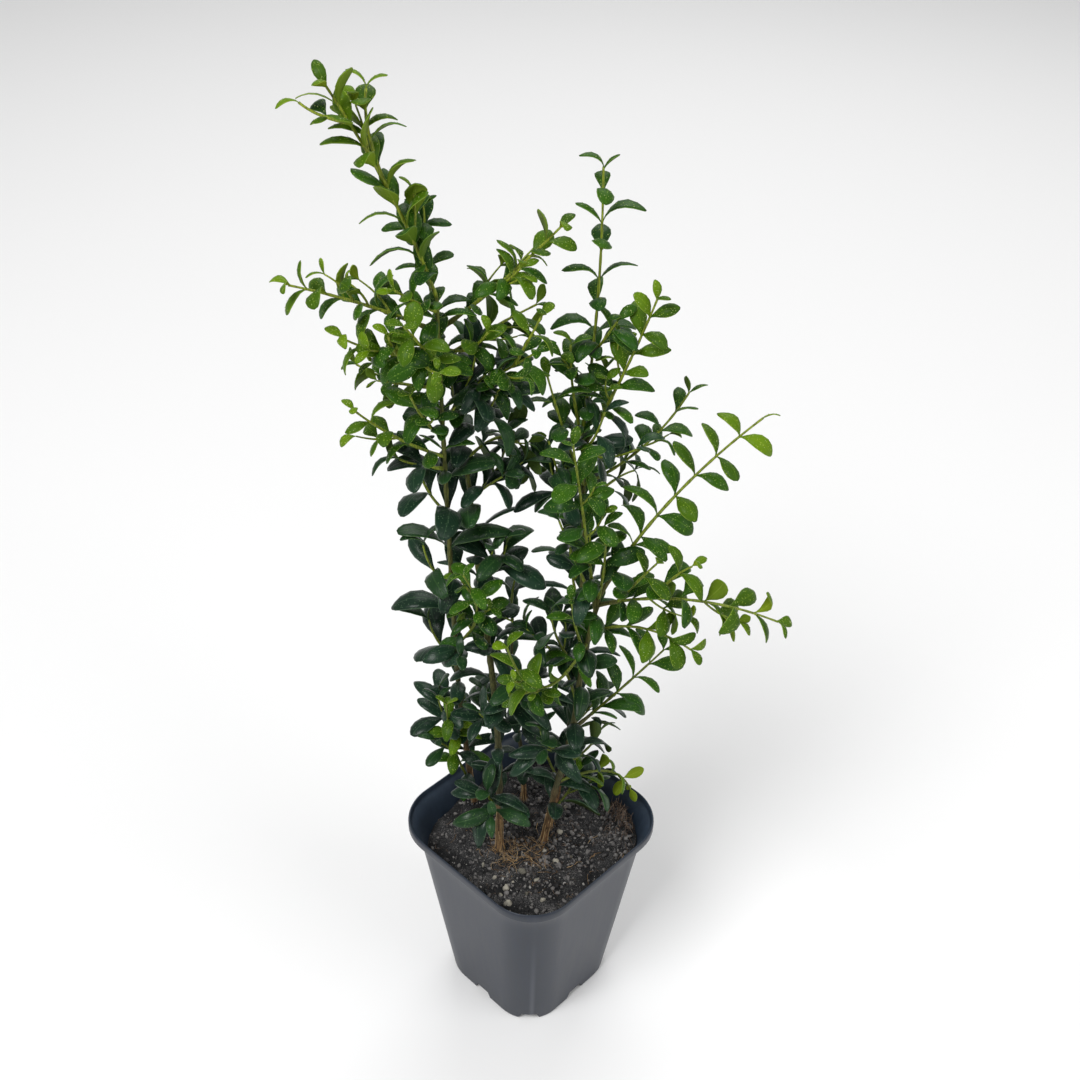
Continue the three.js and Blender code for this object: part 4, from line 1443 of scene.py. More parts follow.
@dataclass
class Rows:
    """Arrays that hold one row for each of many things."""

    def rows(self, which: Array | list[int]) -> Self:
        """Picks some of the rows."""
        return type(self)(*(getattr(self, name)[which] for name in self.__dataclass_fields__))

    @classmethod
    def gather(cls, many: list[Self]) -> Self:
        """Joins several sets of rows into one."""
        return cls(*(np.concatenate([getattr(one, name) for one in many])
                     for name in cls.__dataclass_fields__))


@dataclass
class Spots(Rows):
    """Places where leaves stand, one row each.

    Attributes:
        root: where the leaf meets its twig.
        tangent: which way the twig runs there.
        side: which way the leaf turns out from the twig.
        opening: the angle between twig and leaf, in degrees.
        roll: how far the leaf is rolled about its own length, in degrees.
        length: the leaf's length.
        youth: how young the leaf is, from 0 to 1.
        key: the number that its chances are read from.
        owner: the number of the limb that bears it.
        light: the direction that it turns its face to.
    """

    root: Array
    tangent: Array
    side: Array
    opening: Array
    roll: Array
    length: Array
    youth: Array
    key: Array
    owner: Array
    light: Array


@dataclass(frozen=True)
class PairRule:
    """How leaves stand on a twig: in opposite pairs, each a quarter turn from the last.

    A spread is what chance adds or takes at most, in degrees or as a share. Where a display has
    a plane, a leaf that already points to one side of the twig in it, by more than the sure
    share, is turned to that side. In other pairs one leaf goes to each side.
    """

    bud_opening: float = 30
    bud_length: float = 0.65
    angle_spread: float = 12
    roll_spread: float = 18
    length_spread: float = 0.12
    sure: float = 0.3

    def spots(self, course: Course, run: LeafRun, seed: float, owner: int,
              ends_in_bud: bool = False, opening: float = 58,
              display: Display = Display.AROUND) -> Spots:
        """Gives the places of the leaf pairs on one twig.

        Pair n of N stands (n + 0.45) / (N - 0.55) of the way from start to end, and its chance
        numbers are read at the seed plus twice n, plus one for its second leaf. A display that
        has a plane turns the leaves towards the two sides of the twig that lie in it.

        Args:
            course: the twig's line.
            run: where on it the pairs stand, with their size and youth.
            seed: the number that the chances are read from.
            owner: the number of the twig.
            ends_in_bud: whether the last pair is a half-closed bud.
            opening: the angle between twig and leaf in degrees.
            display: how the twig holds its leaves.

        Returns:
            The places, two for each pair.
        """
        numbers = np.arange(run.pairs)
        steps = (numbers + 0.45) / (run.pairs - 0.55)
        shares = np.minimum(blend(run.start, run.end, steps), LAST_SHARE)
        tangents = course.tangent(shares)
        first = course.tangent(np.array([run.start]))[0]
        side = unit(np.cross(first, RIGHT if abs(first[2]) > 0.9 else UP))
        sides = []
        for tangent in tangents:
            side = unit(side - tangent * (side @ tangent))
            sides.append(side)
        turned = turn_about(np.array(sides), tangents, (numbers % 2) * math.pi / 2)
        last = (numbers == run.pairs - 1) & ends_in_bud
        opening = np.where(last, self.bud_opening, opening)
        light, turn = display.value
        flat = np.cross(tangents, light)
        most = np.linalg.norm(flat, axis=1)
        length = blend(*run.leaf, shares) * np.where(last, self.bud_length, 1)
        halves = []
        for half in (1, -1):
            key = seed + numbers * 2 + (half + 1) // 2
            off = np.sum(turned * half * flat, axis=1)
            hand = np.where(np.abs(off) > self.sure * most, np.sign(off), half)
            sides = unit(turned * half + flat * (turn * hand)[:, None])
            halves.append(Spots(
                course.point(shares), tangents, sides,
                opening + self.angle_spread * spread(key, Draw.ANGLE),
                self.roll_spread * spread(key, Draw.ROLL),
                length * (1 + self.length_spread * spread(key, Draw.LENGTH)),
                blend(*run.youth, (shares - run.start) / max(run.end - run.start, 1e-6)),
                key.astype(float), np.full(run.pairs, owner), np.tile(light, (run.pairs, 1)),
            ))
        return Spots.gather(halves)


@dataclass(frozen=True)
class BladeOutline:
    """The outline of a blade, in shares of its length.

    Fore and end are the power of its fore part, and what is left under the root at its tip, each
    for a pointed leaf and what a blunt one adds. The stalk is its half width there.
    """

    stalk_end: float = 0.06
    widest: float = 0.62
    swell: float = 1.3
    fore: Pair = (1.8, 1.4)
    end: Pair = (0.02, 0.05)
    stalk: float = 0.022

    def half_width(self, run: Array, width: Array, blunt: Array) -> Array:
        """Gives a blade's half width at shares of its length.

        After a short stalk it grows as the sine of the way to its widest place, to the power
        of the swell. Past that place it is the root of 1 - x^n, with x the way from there to
        the tip and n the power of the fore part.

        Args:
            run: shares of the length.
            width: the greatest half width.
            blunt: how blunt the tip is, from 0 to 1.

        Returns:
            Half widths as shares of the length.
        """
        grown = np.clip((run - self.stalk_end) / (self.widest - self.stalk_end), 0, 1)
        closed = np.clip((run - self.widest) / (1 - self.widest), 0, 1)
        power = self.fore[0] + self.fore[1] * blunt
        end = self.end[0] + self.end[1] * blunt
        outline = (np.sin(grown * math.pi / 2) ** self.swell
                   * np.sqrt(np.maximum(1 - closed ** power, end)))
        return np.maximum(width * outline, self.stalk)


OUTLINE = BladeOutline()


@dataclass
class Leaves(Rows):
    """Leaf blades standing in space, one row each.

    Attributes:
        root: where the blade starts.
        along: the direction from root to tip.
        across: the direction to its left edge.
        face: the direction that its upper side looks.
        length: from root to tip.
        bend: how far it bends over its length, in radians.
        hook: how far its tip curls under, as a share of its length.
        width: half its width, as a share of its length.
        dome: how far its edges fall below its midrib, as a share of its half width.
        twist: how far it twists over its length, in radians.
        blunt: how blunt its tip is, from 0 to 1.
        youth: how young it is, from 0 to 1.
        tone: its shade, from 0 to 1.
    """

    root: Array
    along: Array
    across: Array
    face: Array
    length: Array
    bend: Array
    hook: Array
    width: Array
    dome: Array
    twist: Array
    blunt: Array
    youth: Array
    tone: Array

    def at(self, run: Array, beside: Array, lift: float) -> Array:
        """Gives points on the blades.

        The midrib is an arc: its heading turns evenly by the bend, and its tip then drops by
        the hook times the fifth power of the run. The blade falls away to both sides of it by
        the square of the distance, and turns about it by the twist.

        Args:
            run: shares of the length, from root to tip, for each leaf.
            beside: shares of the half width, from -1 to 1, for each leaf.
            lift: how far the point lies above the blade, in millimetres.

        Returns:
            Points, in the shape of run and beside with three numbers each.
        """
        bend, hook, length, width, dome, twist, blunt = (
            getattr(self, name)[:, None]
            for name in ("bend", "hook", "length", "width", "dome", "twist", "blunt"))
        half = bend / 2
        scale = length / (2 * np.sin(half))
        heading = half - bend * run
        ahead = scale * (np.sin(half) - np.sin(heading))
        above = scale * (np.cos(heading) - np.cos(half)) - hook * length * run ** 5
        slope = heading - np.arctan(5 * hook * run ** 4)
        width = length * OUTLINE.half_width(run, width, blunt)
        drop = -dome * width * beside ** 2 + lift
        normal = (self.face[:, None] * np.cos(slope)[..., None]
                  - self.along[:, None] * np.sin(slope)[..., None])
        angle = (twist * run)[..., None]
        flat = self.across[:, None] * np.cos(angle) + normal * np.sin(angle)
        raised = normal * np.cos(angle) - self.across[:, None] * np.sin(angle)
        return (self.root[:, None] + self.along[:, None] * ahead[..., None]
                + self.face[:, None] * above[..., None]
                + flat * (width * beside)[..., None] + raised * drop[..., None])


@dataclass(frozen=True)
class BladeMesh:
    """The few faces of one leaf: an upper side, a lower side and a rim between them."""

    runs: tuple[float, ...] = (0, 0.09, 0.22, 0.38, 0.56, 0.74, 0.88, 0.96, 1)
    upper: tuple[float, ...] = (-1, -0.6, 0, 0.6, 1)
    lower: tuple[float, ...] = (-1, 0, 1)
    thickness: float = 0.32
    edge_thickness: float = 0.22
    slots: tuple[int, ...] = (0, 1, 0, 1, 1)

    def side(self, leaves: Leaves, columns: tuple[float, ...], sign: int) -> Array:
        """Gives one side's vertices for all the leaves.

        Args:
            leaves: the leaves.
            columns: shares of the half width.
            sign: 1 for the upper side and -1 for the lower one.

        Returns:
            Points by leaf, row and column.
        """
        runs = np.broadcast_to(np.array(self.runs), (len(leaves.root), len(self.runs)))
        made = []
        for column in columns:
            thick = self.edge_thickness if abs(column) == 1 else self.thickness
            made.append(leaves.at(runs, np.full(runs.shape, float(column)), sign * thick / 2))
        return np.stack(made, axis=2)

    def faces(self) -> tuple[Array, Array, Array, Array, Array]:
        """Gives one leaf's faces, looking outwards.

        Returns:
            The upper faces, the lower ones, the rim, and the outlines of the root and the tip.
        """
        rows, wide, narrow = len(self.runs), len(self.upper), len(self.lower)
        upper = lattice(rows, wide, False)[:, ::-1]
        lower = lattice(rows, narrow, False) + rows * wide
        row = np.arange(rows - 1)
        left_top, left_low = row * wide, row * narrow + rows * wide
        right_top, right_low = left_top + wide - 1, left_low + narrow - 1
        left = np.stack([left_top + wide, left_top, left_low, left_low + narrow], axis=1)
        right = np.stack([right_top, right_top + wide, right_low + narrow, right_low], axis=1)
        root = np.concatenate([np.arange(wide), (np.arange(narrow) + rows * wide)[::-1]])
        tip = np.concatenate([
            (np.arange(wide) + (rows - 1) * wide)[::-1],
            np.arange(narrow) + rows * wide + (rows - 1) * narrow,
        ])
        return upper, lower, np.concatenate([left, right]), root[None], tip[None]

    def build(self, leaves: Leaves) -> Shape:
        """Makes all the leaves as one surface, with the lower sides in the second finish.

        Args:
            leaves: the leaves.

        Returns:
            The joined surface.
        """
        count = len(leaves.root)
        top = self.side(leaves, self.upper, 1).reshape(count, -1, 3)
        low = self.side(leaves, self.lower, -1).reshape(count, -1, 3)
        points = np.concatenate([top, low], axis=1)
        pattern = np.concatenate([
            grid(np.array(self.runs)[:, None], (np.array(columns) + 1) / 2).reshape(-1, 2)
            for columns in (self.upper, self.lower)])
        groups = [repeat_faces(faces, count, points.shape[1]) for faces in self.faces()]
        finishes = [np.full(len(group), slot) for group, slot in zip(groups, self.slots)]
        return Shape(points.reshape(-1, 3), groups, finishes, np.tile(pattern, (count, 1)),
                     np.repeat(leaves.tone, points.shape[1]))


class LeafKind(Enum):
    """The leaf greens from the oldest to the youngest.

    Each holds the youth at which it ends, and the settings of its upper and lower skin.
    """

    # Each skin gives deep, light, vein and margin colours, roughness and coat. The margin colour is
    # the leaf's pale edge, partly painted highlight, and the colour of the painted droplet glints.
    OLD = (0.12, ("0f2318", "1f3a28", "365239", "5c7658", 0.36, 0.2),
           ("3a4c26", "4a5e2c", "5e6e38", "5c6c38", 0.6, 0.0))
    DARK = (0.28, ("142d17", "254622", "3c5e2e", "5c7c46", 0.38, 0.18),
            ("3f5424", "50682a", "647838", "627438", 0.6, 0.0))
    MIDDLE = (0.46, ("17380e", "274f12", "3c661e", "68903e", 0.42, 0.12),
              ("466020", "587426", "6e8634", "6a8034", 0.6, 0.0))
    FRESH = (0.64, ("20440a", "345c0b", "4c7418", "7c9e40", 0.45, 0.08),
             ("506c1c", "648022", "788e34", "748a34", 0.58, 0.0))
    YOUNG = (0.82, ("325208", "496a09", "60801a", "90a83a", 0.48, 0.05),
             ("5e781a", "748c20", "86983a", "829438", 0.58, 0.0))
    TIP = (9.0, ("456509", "64840a", "7c981e", "a4b848", 0.5, 0.04),
           ("6e841a", "869a24", "98a83e", "92a43a", 0.58, 0.0))

    def skins(self) -> list[bpy.types.Material]:
        """Makes the upper and the lower skin of this kind of leaf."""
        return [LeafFinish(f"boxwood leaf, {self.name.lower()}, {side} skin", *settings).material()
                for side, settings in zip(("upper", "lower"), self.value[1:])]


@dataclass(frozen=True)
class LeafForm:
    """How a leaf stands and bends.

    Bend and dome are a usual value and what chance adds or takes at most, and a spread is what
    chance adds or takes alone. The hook is its least and what chance adds. The width is its
    least, what youth adds, and what chance adds or takes. A leaf leans open by a share of what
    it bends beyond the flat bend.
    """

    skyward: float = 0.5
    bend: Pair = (70, 42)
    flat_bend: float = 60
    lean_per_bend: float = 0.25
    hook: Pair = (0.05, 0.3)
    width: Triple = (0.196, 0.075, 0.035)
    dome: Pair = (0.22, 0.26)
    twist_spread: float = 22
    youth_spread: float = 0.07

    def stand(self, spots: Spots, swing: float, scale: float) -> Leaves:
        """Stands a leaf at each place, swung open by some more degrees and scaled.

        The leaf leans from the twig's direction by its opening angle, and more so the more it
        bends. Its face looks back at the twig and part way to the light, more so where the twig
        is level, and it is rolled about its own length.

        Args:
            spots: the places.
            swing: degrees to add to each opening.
            scale: what to multiply each length by.

        Returns:
            The leaves.
        """
        key, youth = spots.key, spots.youth
        bend = self.bend[0] + self.bend[1] * spread(key, Draw.BEND)
        lean = self.lean_per_bend * (bend - self.flat_bend)
        angle = np.radians(spots.opening + lean + swing)[:, None]
        along = unit(spots.tangent * np.cos(angle) + spots.side * np.sin(angle))
        level = np.linalg.norm(spots.tangent[:, :2], axis=1)[:, None]
        facing = (spots.tangent * np.sin(angle) - spots.side * np.cos(angle)
                  + spots.light * self.skyward * (1 + level))
        facing = turn_about(facing, along, np.radians(spots.roll))
        across = unit(np.cross(facing, along))
        return Leaves(
            root=spots.root, along=along, across=across, face=np.cross(along, across),
            length=spots.length * scale, bend=np.radians(bend),
            hook=self.hook[0] + self.hook[1] * chance(key, Draw.HOOK) ** 2,
            width=self.width[0] + self.width[1] * youth + self.width[2] * spread(key, Draw.WIDTH),
            dome=self.dome[0] + self.dome[1] * spread(key, Draw.DOME),
            twist=np.radians(self.twist_spread * spread(key, Draw.TWIST)),
            blunt=chance(key, Draw.BLUNT),
            youth=youth + self.youth_spread * spread(key, Draw.YOUTH),
            tone=chance(key, Draw.TONE),
        )


class SideTwig(Enum):
    """The kinds of side twig: length, leaf size against the shoot's, and shifts of two seeds."""

    USUAL = (15, 0.9, 0, 50)
    FINER = (11, 0.78, 7, 5050)


@dataclass(frozen=True)
class Wood:
    """Limbs with their bark, and the dry fibres that fray from the stems' feet.

    A stem is slimmed against its solid, and lacks a share, its waist, where it leaves the soil.
    A twig's radii are those of its foot and its tip. A node rises by a share of the radius.
    Heights, radii and splay of the fibres are the least and the most.
    """

    slimmed: float = 0.6
    waist: float = 0.15
    waist_length: float = 4
    bough_radius: float = 0.95
    twig_radii: Pair = (0.66, 0.36)
    side_twig_radii: Pair = (0.44, 0.3)
    ring_gap: float = 0.9
    twig_ring_gap: float = 1.6
    node_gap: float = 11
    node_rise: float = 0.22
    node_length: float = 1.5
    frays: int = 26
    fray_rings: int = 9
    fray_heights: Pair = (5, 24)
    fray_radii: Pair = (0.07, 0.17)
    splay: Pair = (0.1, 2.2)

    def tube(self, course: Course, shares: Array, radii: Array, sides: int,
             nodes: Array, rough: float, seed: float) -> Shape:
        """Makes a limb whose bark has ridges, furrows and a ring at each node.

        A radius is the limb's own, times one plus waves around it that drift along it, plus a
        swelling at each node that fades over the node length.

        Args:
            course: the limb's line.
            shares: where its rings lie.
            radii: its radius at each ring.
            sides: how many sides it has.
            nodes: shares where leaves stood.
            rough: how deep the ridges are, as a share of the radius.
            seed: a number that shifts the ridges.

        Returns:
            The limb.
        """
        around = np.arange(sides)[None] * 2 * math.pi / sides
        run = (shares * course.length())[:, None]
        ridges = (np.sin(3 * around + 0.05 * run + seed)
                  + 0.7 * np.sin(5 * around - 0.11 * run + 2.1 * seed)
                  + 0.6 * np.sin(7 * around + 0.23 * run + 3.7 * seed) * np.sin(0.31 * run + seed)
                  + 0.5 * np.sin(11 * around - 0.08 * run + 1.7 * seed))
        lumps = smooth_noise(grid(run / 3.5, np.cos(around) * 1.3), seed)
        away = (run - nodes[None] * course.length()) / self.node_length
        rings = self.node_rise * np.exp(-away ** 2).sum(axis=1, keepdims=True)
        grown = radii[:, None] * (1 + rough * (0.45 * ridges + 0.8 * lumps) + rings)
        return carry(course, shares, grown, float(chance(seed, Draw.LIMB_TONE)))

    def stem(self, course: Course, stem: Stem, seed: float) -> Shape:
        """Makes a stem, a little slimmer where it leaves the soil.

        Args:
            course: the stem's line.
            stem: the stem.
            seed: a number that shifts its ridges.

        Returns:
            The stem.
        """
        length = course.length()
        shares = np.linspace(0, 1, int(length / self.ring_gap))
        above = shares * length - FOOT_DEPTH
        lack = self.waist * np.minimum(1, np.exp(-above / self.waist_length))
        radii = self.slimmed * blend(stem.foot, stem.tip, shares) * (1 - lack)
        nodes = np.arange(0.1, 1, self.node_gap / length)
        return self.tube(course, shares, radii, 26, nodes, 0.1, seed)

    def bough(self, course: Course, end: float, seed: float) -> Shape:
        """Makes a bough from the foot of its line to a share of it.

        Args:
            course: the shoot's line.
            end: the share.
            seed: a number that shifts its ridges.

        Returns:
            The bough.
        """
        shares = np.linspace(0, end, max(8, int(course.length() * end / self.ring_gap)))
        radii = blend(self.bough_radius, self.twig_radii[0], shares / end)
        return self.tube(course, shares, radii, 12, np.array([0.1]), 0.07, seed)

    def twig(self, course: Course, start: float, thick: Pair,
             nodes: Array, seed: float) -> Shape:
        """Makes a green twig from a share of its line to its tip.

        Args:
            course: the shoot's line.
            start: the share.
            thick: its radius at its foot and at its tip.
            nodes: shares where leaves stand.
            seed: a number that shifts its ridges.

        Returns:
            The twig.
        """
        length = course.length() * (1 - start)
        shares = np.linspace(start, 1, max(5, int(length / self.twig_ring_gap)))
        radii = blend(*thick, (shares - start) / (1 - start))
        return self.tube(course, shares, radii, 7, nodes, 0.05, seed)

    def frayed_foot(self, course: Course, stem: Stem, seed: int) -> Shape:
        """Makes the dry fibres that peel off a stem's foot and splay over the soil.

        A fibre runs down the bark at its own angle, and over its last few millimetres it moves
        out from the stem by its splay times e^(-h / 2), with h its height over the soil.

        Args:
            course: the stem's line.
            stem: the stem.
            seed: a number that picks the pattern.

        Returns:
            The fibres.
        """
        random = np.random.default_rng(seed)
        radius = self.slimmed * stem.foot
        steps = np.linspace(0, 1, self.fray_rings)
        tubes = []
        for _ in range(self.frays):
            high = random.uniform(*self.fray_heights)
            heights = FOOT_DEPTH + 0.4 + (high - 0.4) * (1 - steps)
            centres = course.point(heights / course.length())
            angle = random.uniform(0, 2 * math.pi) + random.normal(0, 0.35) * steps
            out = (radius * (1.02 + 0.1 * random.random())
                   + random.uniform(*self.splay) * np.exp(-(heights - FOOT_DEPTH) / 2))
            points = centres + np.stack([np.cos(angle) * out, np.sin(angle) * out, 0 * out], axis=1)
            tubes.append(fibre(WanderCourse(points), self.fray_rings,
                               random.uniform(*self.fray_radii), 0.5, random.random()))
        return join(tubes)


@dataclass
class Plant:
    """The whole shrub above the soil: stems, boughs, twigs and leaves.

    A leaf is checked at some columns, shares of its half width, over a number of runs between
    two shares of its length. Those points keep the leaf gap from other leaves and the limb gap
    from limbs. A try is degrees of swing and a scale. The lists hold what has grown so far; a
    row of limbs is a point, the limb's radius and its number.
    """

    soil_level: float = 87
    sprig_leaf: Pair = (22, 18)
    checked_runs: tuple[float, float, int] = (0.3, 0.97, 6)
    checked_columns: tuple[float, ...] = (-0.8, 0, 0.8)
    leaf_gap: float = 0.95
    limb_gap: float = 0.4
    tries: tuple[Pair, ...] = ((0, 1), (14, 1), (-14, 1), (-26, 0.9), (26, 0.9),
                                              (0, 0.75))
    rule: PairRule = field(default_factory=PairRule)
    form: LeafForm = field(default_factory=LeafForm)
    blade: BladeMesh = field(default_factory=BladeMesh)
    wood: Wood = field(default_factory=Wood)
    bark: list[Shape] = field(default_factory=list)
    feet: list[Shape] = field(default_factory=list)
    boughs: list[Shape] = field(default_factory=list)
    twigs: list[Shape] = field(default_factory=list)
    spots: list[Spots] = field(default_factory=list)
    limbs: list[Array] = field(default_factory=list)

    def stem_course(self, stem: Stem) -> StemCourse:
        """Gives a stem's line, which rises evenly from below the soil to its top.

        Args:
            stem: the stem.

        Returns:
            Its line.
        """
        flat = np.array(stem.course, float)
        heights = np.linspace(self.soil_level - FOOT_DEPTH, stem.top, len(flat))
        return StemCourse(np.column_stack([flat, heights]))

    def remember(self, course: Course, radius: float, owner: int) -> None:
        """Keeps points 2.5 mm apart along a limb, so that leaves can stay clear of it.

        Args:
            course: the limb's line.
            radius: its radius.
            owner: its number.
        """
        centres = course.point(np.linspace(0, 1, max(3, int(course.length() / 2.5))))
        self.limbs.append(np.column_stack([centres, np.full(len(centres), radius),
                                           np.full(len(centres), owner)]))

    def grow_stems(self) -> dict[str, Course]:
        """Makes the five stems and the leaf pairs that stand straight on them.

        Returns:
            The stems' lines by name.
        """
        courses: dict[str, Course] = {}
        for number, (name, stem) in enumerate(STEMS.items()):
            course = self.stem_course(stem)
            self.bark.append(self.wood.stem(course, stem, number + 1.0))
            self.feet.append(self.wood.frayed_foot(course, stem, number))
            self.remember(course, stem.foot * 0.8, -1 - number)
            courses[name] = course
            for place, run in enumerate(stem.runs):
                seed = STEM_SEED + number * 500 + place * 100
                self.spots.append(self.rule.spots(course, run, seed, -1 - number))
        return courses

    def side_course(self, course: Course, share: float, length: float, seed: float
                    ) -> ShootCourse:
        """Gives the line of a side twig, which leaves its shoot at an angle and curves along it.

        Args:
            course: the shoot's line.
            share: where the twig leaves it.
            length: the twig's length.
            seed: the number that picks which side it takes.

        Returns:
            The twig's line.
        """
        places = np.array([share])
        tangent, root = course.tangent(places), course.point(places)
        turn = chance(seed, Draw.SIDE) * 2 * math.pi
        side = turn_about(unit(np.cross(tangent, UP)), tangent, np.array([turn]))
        knee = root + side * length * 0.35 + tangent * length * 0.3
        tip = root + side * length * 0.5 + tangent * length * 0.85
        return ShootCourse(np.concatenate([root, knee, tip]))

    def clear_share(self, course: Course, carrier: float) -> float:
        """Gives the share at which a shoot has come a millimetre clear of its carrier's bark.

        Args:
            course: the shoot's line.
            carrier: the radius of the limb that carries it.

        Returns:
            The share.
        """
        shares = np.linspace(0, 0.5, 126)
        away = np.linalg.norm(course.point(shares) - course.point(np.array([0.0])), axis=1)
        return float(shares[np.argmax(away > carrier + 1.0)])

    def grow_shoot(self, shoot: Shoot, number: int, courses: dict[str, Course]) -> None:
        """Grows one shoot with its bough, side twigs and the places of its leaves.

        Args:
            shoot: the shoot.
            number: its place in the list, from one.
            courses: the lines of the stems and of the shoots so far, which gain this one.
        """
        seed = number * 100
        base = courses[shoot.on].point(np.array([shoot.at]))[0]
        course = ShootCourse(np.array([base, shoot.knee, shoot.tip], float))
        courses.setdefault(shoot.name, course)
        stem = STEMS.get(shoot.on)
        carrier = blend(stem.foot, stem.tip, shoot.at) if stem else self.wood.twig_radii[0]
        start = self.clear_share(course, carrier)
        old, new = shoot.age.value
        if shoot.bough:
            self.boughs.append(self.wood.bough(course, shoot.bough, float(seed)))
            start = shoot.bough
            # The bough bears a pair about every 10 mm, a little smaller and older.
            run = LeafRun(0.25 * start, start, max(1, int(course.length() * start / 10)),
                          (shoot.leaf[0] * 0.8, shoot.leaf[0]), (old - 0.1, old))
            self.spots.append(self.rule.spots(course, run, seed + BOUGH_SEED, number))
        run = LeafRun(start, 1, shoot.pairs, shoot.leaf, shoot.age.value)
        self.spots.append(self.rule.spots(course, run, seed, number, True, shoot.opening,
                                          shoot.display))
        nodes = np.linspace(start, LAST_SHARE, shoot.pairs)
        self.twigs.append(self.wood.twig(course, 0.98 * shoot.bough, self.wood.twig_radii, nodes,
                                         float(seed)))
        self.remember(course, self.wood.twig_radii[0], number)
        sides = [(share, i, SideTwig.USUAL) for i, share in enumerate(shoot.twigs)]
        sides += [(share, i, SideTwig.FINER) for i, share in enumerate(shoot.finer)]
        for place, (share, i, kind) in enumerate(sides, 1):
            length, scale, twig_shift, leaf_shift = kind.value
            share = max(share, start + 0.05)
            twig_seed = seed + twig_shift + i * 10
            twig = self.side_course(course, share, length, twig_seed)
            owner = number + 1000 * place
            self.twigs.append(self.wood.twig(twig, 0, self.wood.side_twig_radii, np.array([0.5]),
                                             float(twig_seed)))
            self.remember(twig, self.wood.side_twig_radii[0], owner)
            youth = blend(old, new, share)
            run = LeafRun(0.2, 1, 2, tuple(size * scale for size in shoot.leaf),
                          (youth, min(new + 0.05, youth + 0.2)))
            self.spots.append(self.rule.spots(twig, run, seed + leaf_shift + i * 10, owner, True,
                                              shoot.opening, shoot.display))

    def sprig_shoot(self, sprig: Sprig, number: int, courses: dict[str, Course]) -> Shoot:
        """Writes a sprig out as a shoot, from its compass turn and its rise.

        Args:
            sprig: the sprig.
            number: its place in the list, from one.
            courses: the stems' lines.

        Returns:
            The shoot.
        """
        base = courses[sprig.on].point(np.array([sprig.at]))[0]
        turn = math.radians(sprig.turn)
        heading = np.array([math.cos(turn), math.sin(turn), 0])
        knee = base + heading * sprig.out * 0.8 + UP * sprig.up * 0.3
        tip = base + heading * sprig.out + UP * sprig.up
        return Shoot(f"sprig_{number}", sprig.on, sprig.at, tuple(knee), tuple(tip),
                     sprig.pairs, self.sprig_leaf, Age.DARK,
                     twigs=(0.45,) if sprig.pairs > 2 else ())

    def clear_leaves(self, spots: Spots) -> Leaves:
        """Keeps the leaves that stand clear of each other and of the limbs.

        Each place tries its leaf, and then the same leaf swung or made smaller, and stays empty
        if its blade always comes too close to one that stands already.

        Args:
            spots: the places.

        Returns:
            The leaves that fit.
        """
        stood = [self.form.stand(spots, swing, scale) for swing, scale in self.tries]
        runs, besides = np.meshgrid(np.linspace(*self.checked_runs), self.checked_columns,
                                    indexing="ij")
        shape = (len(spots.root), runs.size)
        blades = [leaves.at(np.broadcast_to(runs.ravel(), shape),
                            np.broadcast_to(besides.ravel(), shape), 0.0) for leaves in stood]
        limbs = np.concatenate(self.limbs)
        taken = np.empty((len(spots.root), runs.size, 3))
        middles = np.empty((len(spots.root), 3))
        reaches = np.empty(len(spots.root))
        kept: list[tuple[int, int]] = []
        for place in range(len(spots.root)):
            other = limbs[limbs[:, 4] != spots.owner[place]]
            for attempt, blade in enumerate(blades):
                points = blade[place]
                middle = points.mean(axis=0)
                reach = np.linalg.norm(points - middle, axis=1).max()
                close = other[np.linalg.norm(other[:, :3] - middle, axis=1)
                              < reach + other[:, 3] + self.limb_gap]
                apart = np.linalg.norm(points[:, None] - close[None, :, :3], axis=-1)
                if np.any(apart < close[None, :, 3] + self.limb_gap):
                    continue
                full = len(kept)
                near = (np.linalg.norm(middles[:full] - middle, axis=1)
                        < reaches[:full] + reach + self.leaf_gap)
                others = taken[:full][near].reshape(-1, 3)
                gaps = np.linalg.norm(points[:, None] - others[None], axis=-1)
                if len(others) and gaps.min() < self.leaf_gap:
                    continue
                taken[full], middles[full], reaches[full] = points, middle, reach
                kept.append((place, attempt))
                break
        leaves = Leaves.gather([stood[attempt].rows([place]) for place, attempt in kept])
        LOG.info("%d of %d leaves fit, %.1f to %.1f mm long", len(kept), len(spots.root),
                 leaves.length.min(), leaves.length.max())
        return leaves

    def build(self) -> Leaves:
        """Grows the whole plant and dresses it.

        The shoots grow in the order of the list, so an earlier one's leaves have first call on
        the room.

        Returns:
            All the leaves, for the water that lies on them.
        """
        courses = self.grow_stems()
        sprigs = [self.sprig_shoot(sprig, i + 1, courses) for i, sprig in enumerate(SPRIGS)]
        shoots = [*SHOOTS, *sprigs]
        for number, shoot in enumerate([*shoots, *FINER_SHOOTS], 1):
            self.grow_shoot(shoot, number, courses)
        masses = [shoot.name for shoot in shoots]
        old_bark = WoodFinish("boxwood bark", 87, 330, (
            (0.0, "906a48"), (0.06, "70583a"), (0.15, "4c4a2c"), (0.6, "5e6028"),
            (1.0, "667024")), 0.3, 0.75).material()
        green_bark = WoodFinish("green boxwood twig", 90, 430, (
            (0.0, "64701f"), (0.5, "7a8a20"), (1.0, "909e24")), 0.12, 0.6).material()
        seat(make_mesh("stems_bark", join(self.bark), [old_bark]), list(STEMS))
        dry_bark = EarthFinish("dry bark fibres", "5a4230", "aa845a", "d6b88a", 0.7, 0.1).material()
        seat(make_mesh("stem_feet_fibres", join(self.feet), [dry_bark]), [])
        seat(make_mesh("boughs_bark", join(self.boughs), [old_bark]),
             [f"bough_{shoot.name}" for shoot in SHOOTS if shoot.bough])
        seat(make_mesh("twigs_green", join(self.twigs), [green_bark]), masses)
        leaves = self.clear_leaves(Spots.gather(self.spots))
        floor = -1.0
        for kind in LeafKind:
            which = np.flatnonzero((leaves.youth >= floor) & (leaves.youth < kind.value[0]))
            floor = kind.value[0]
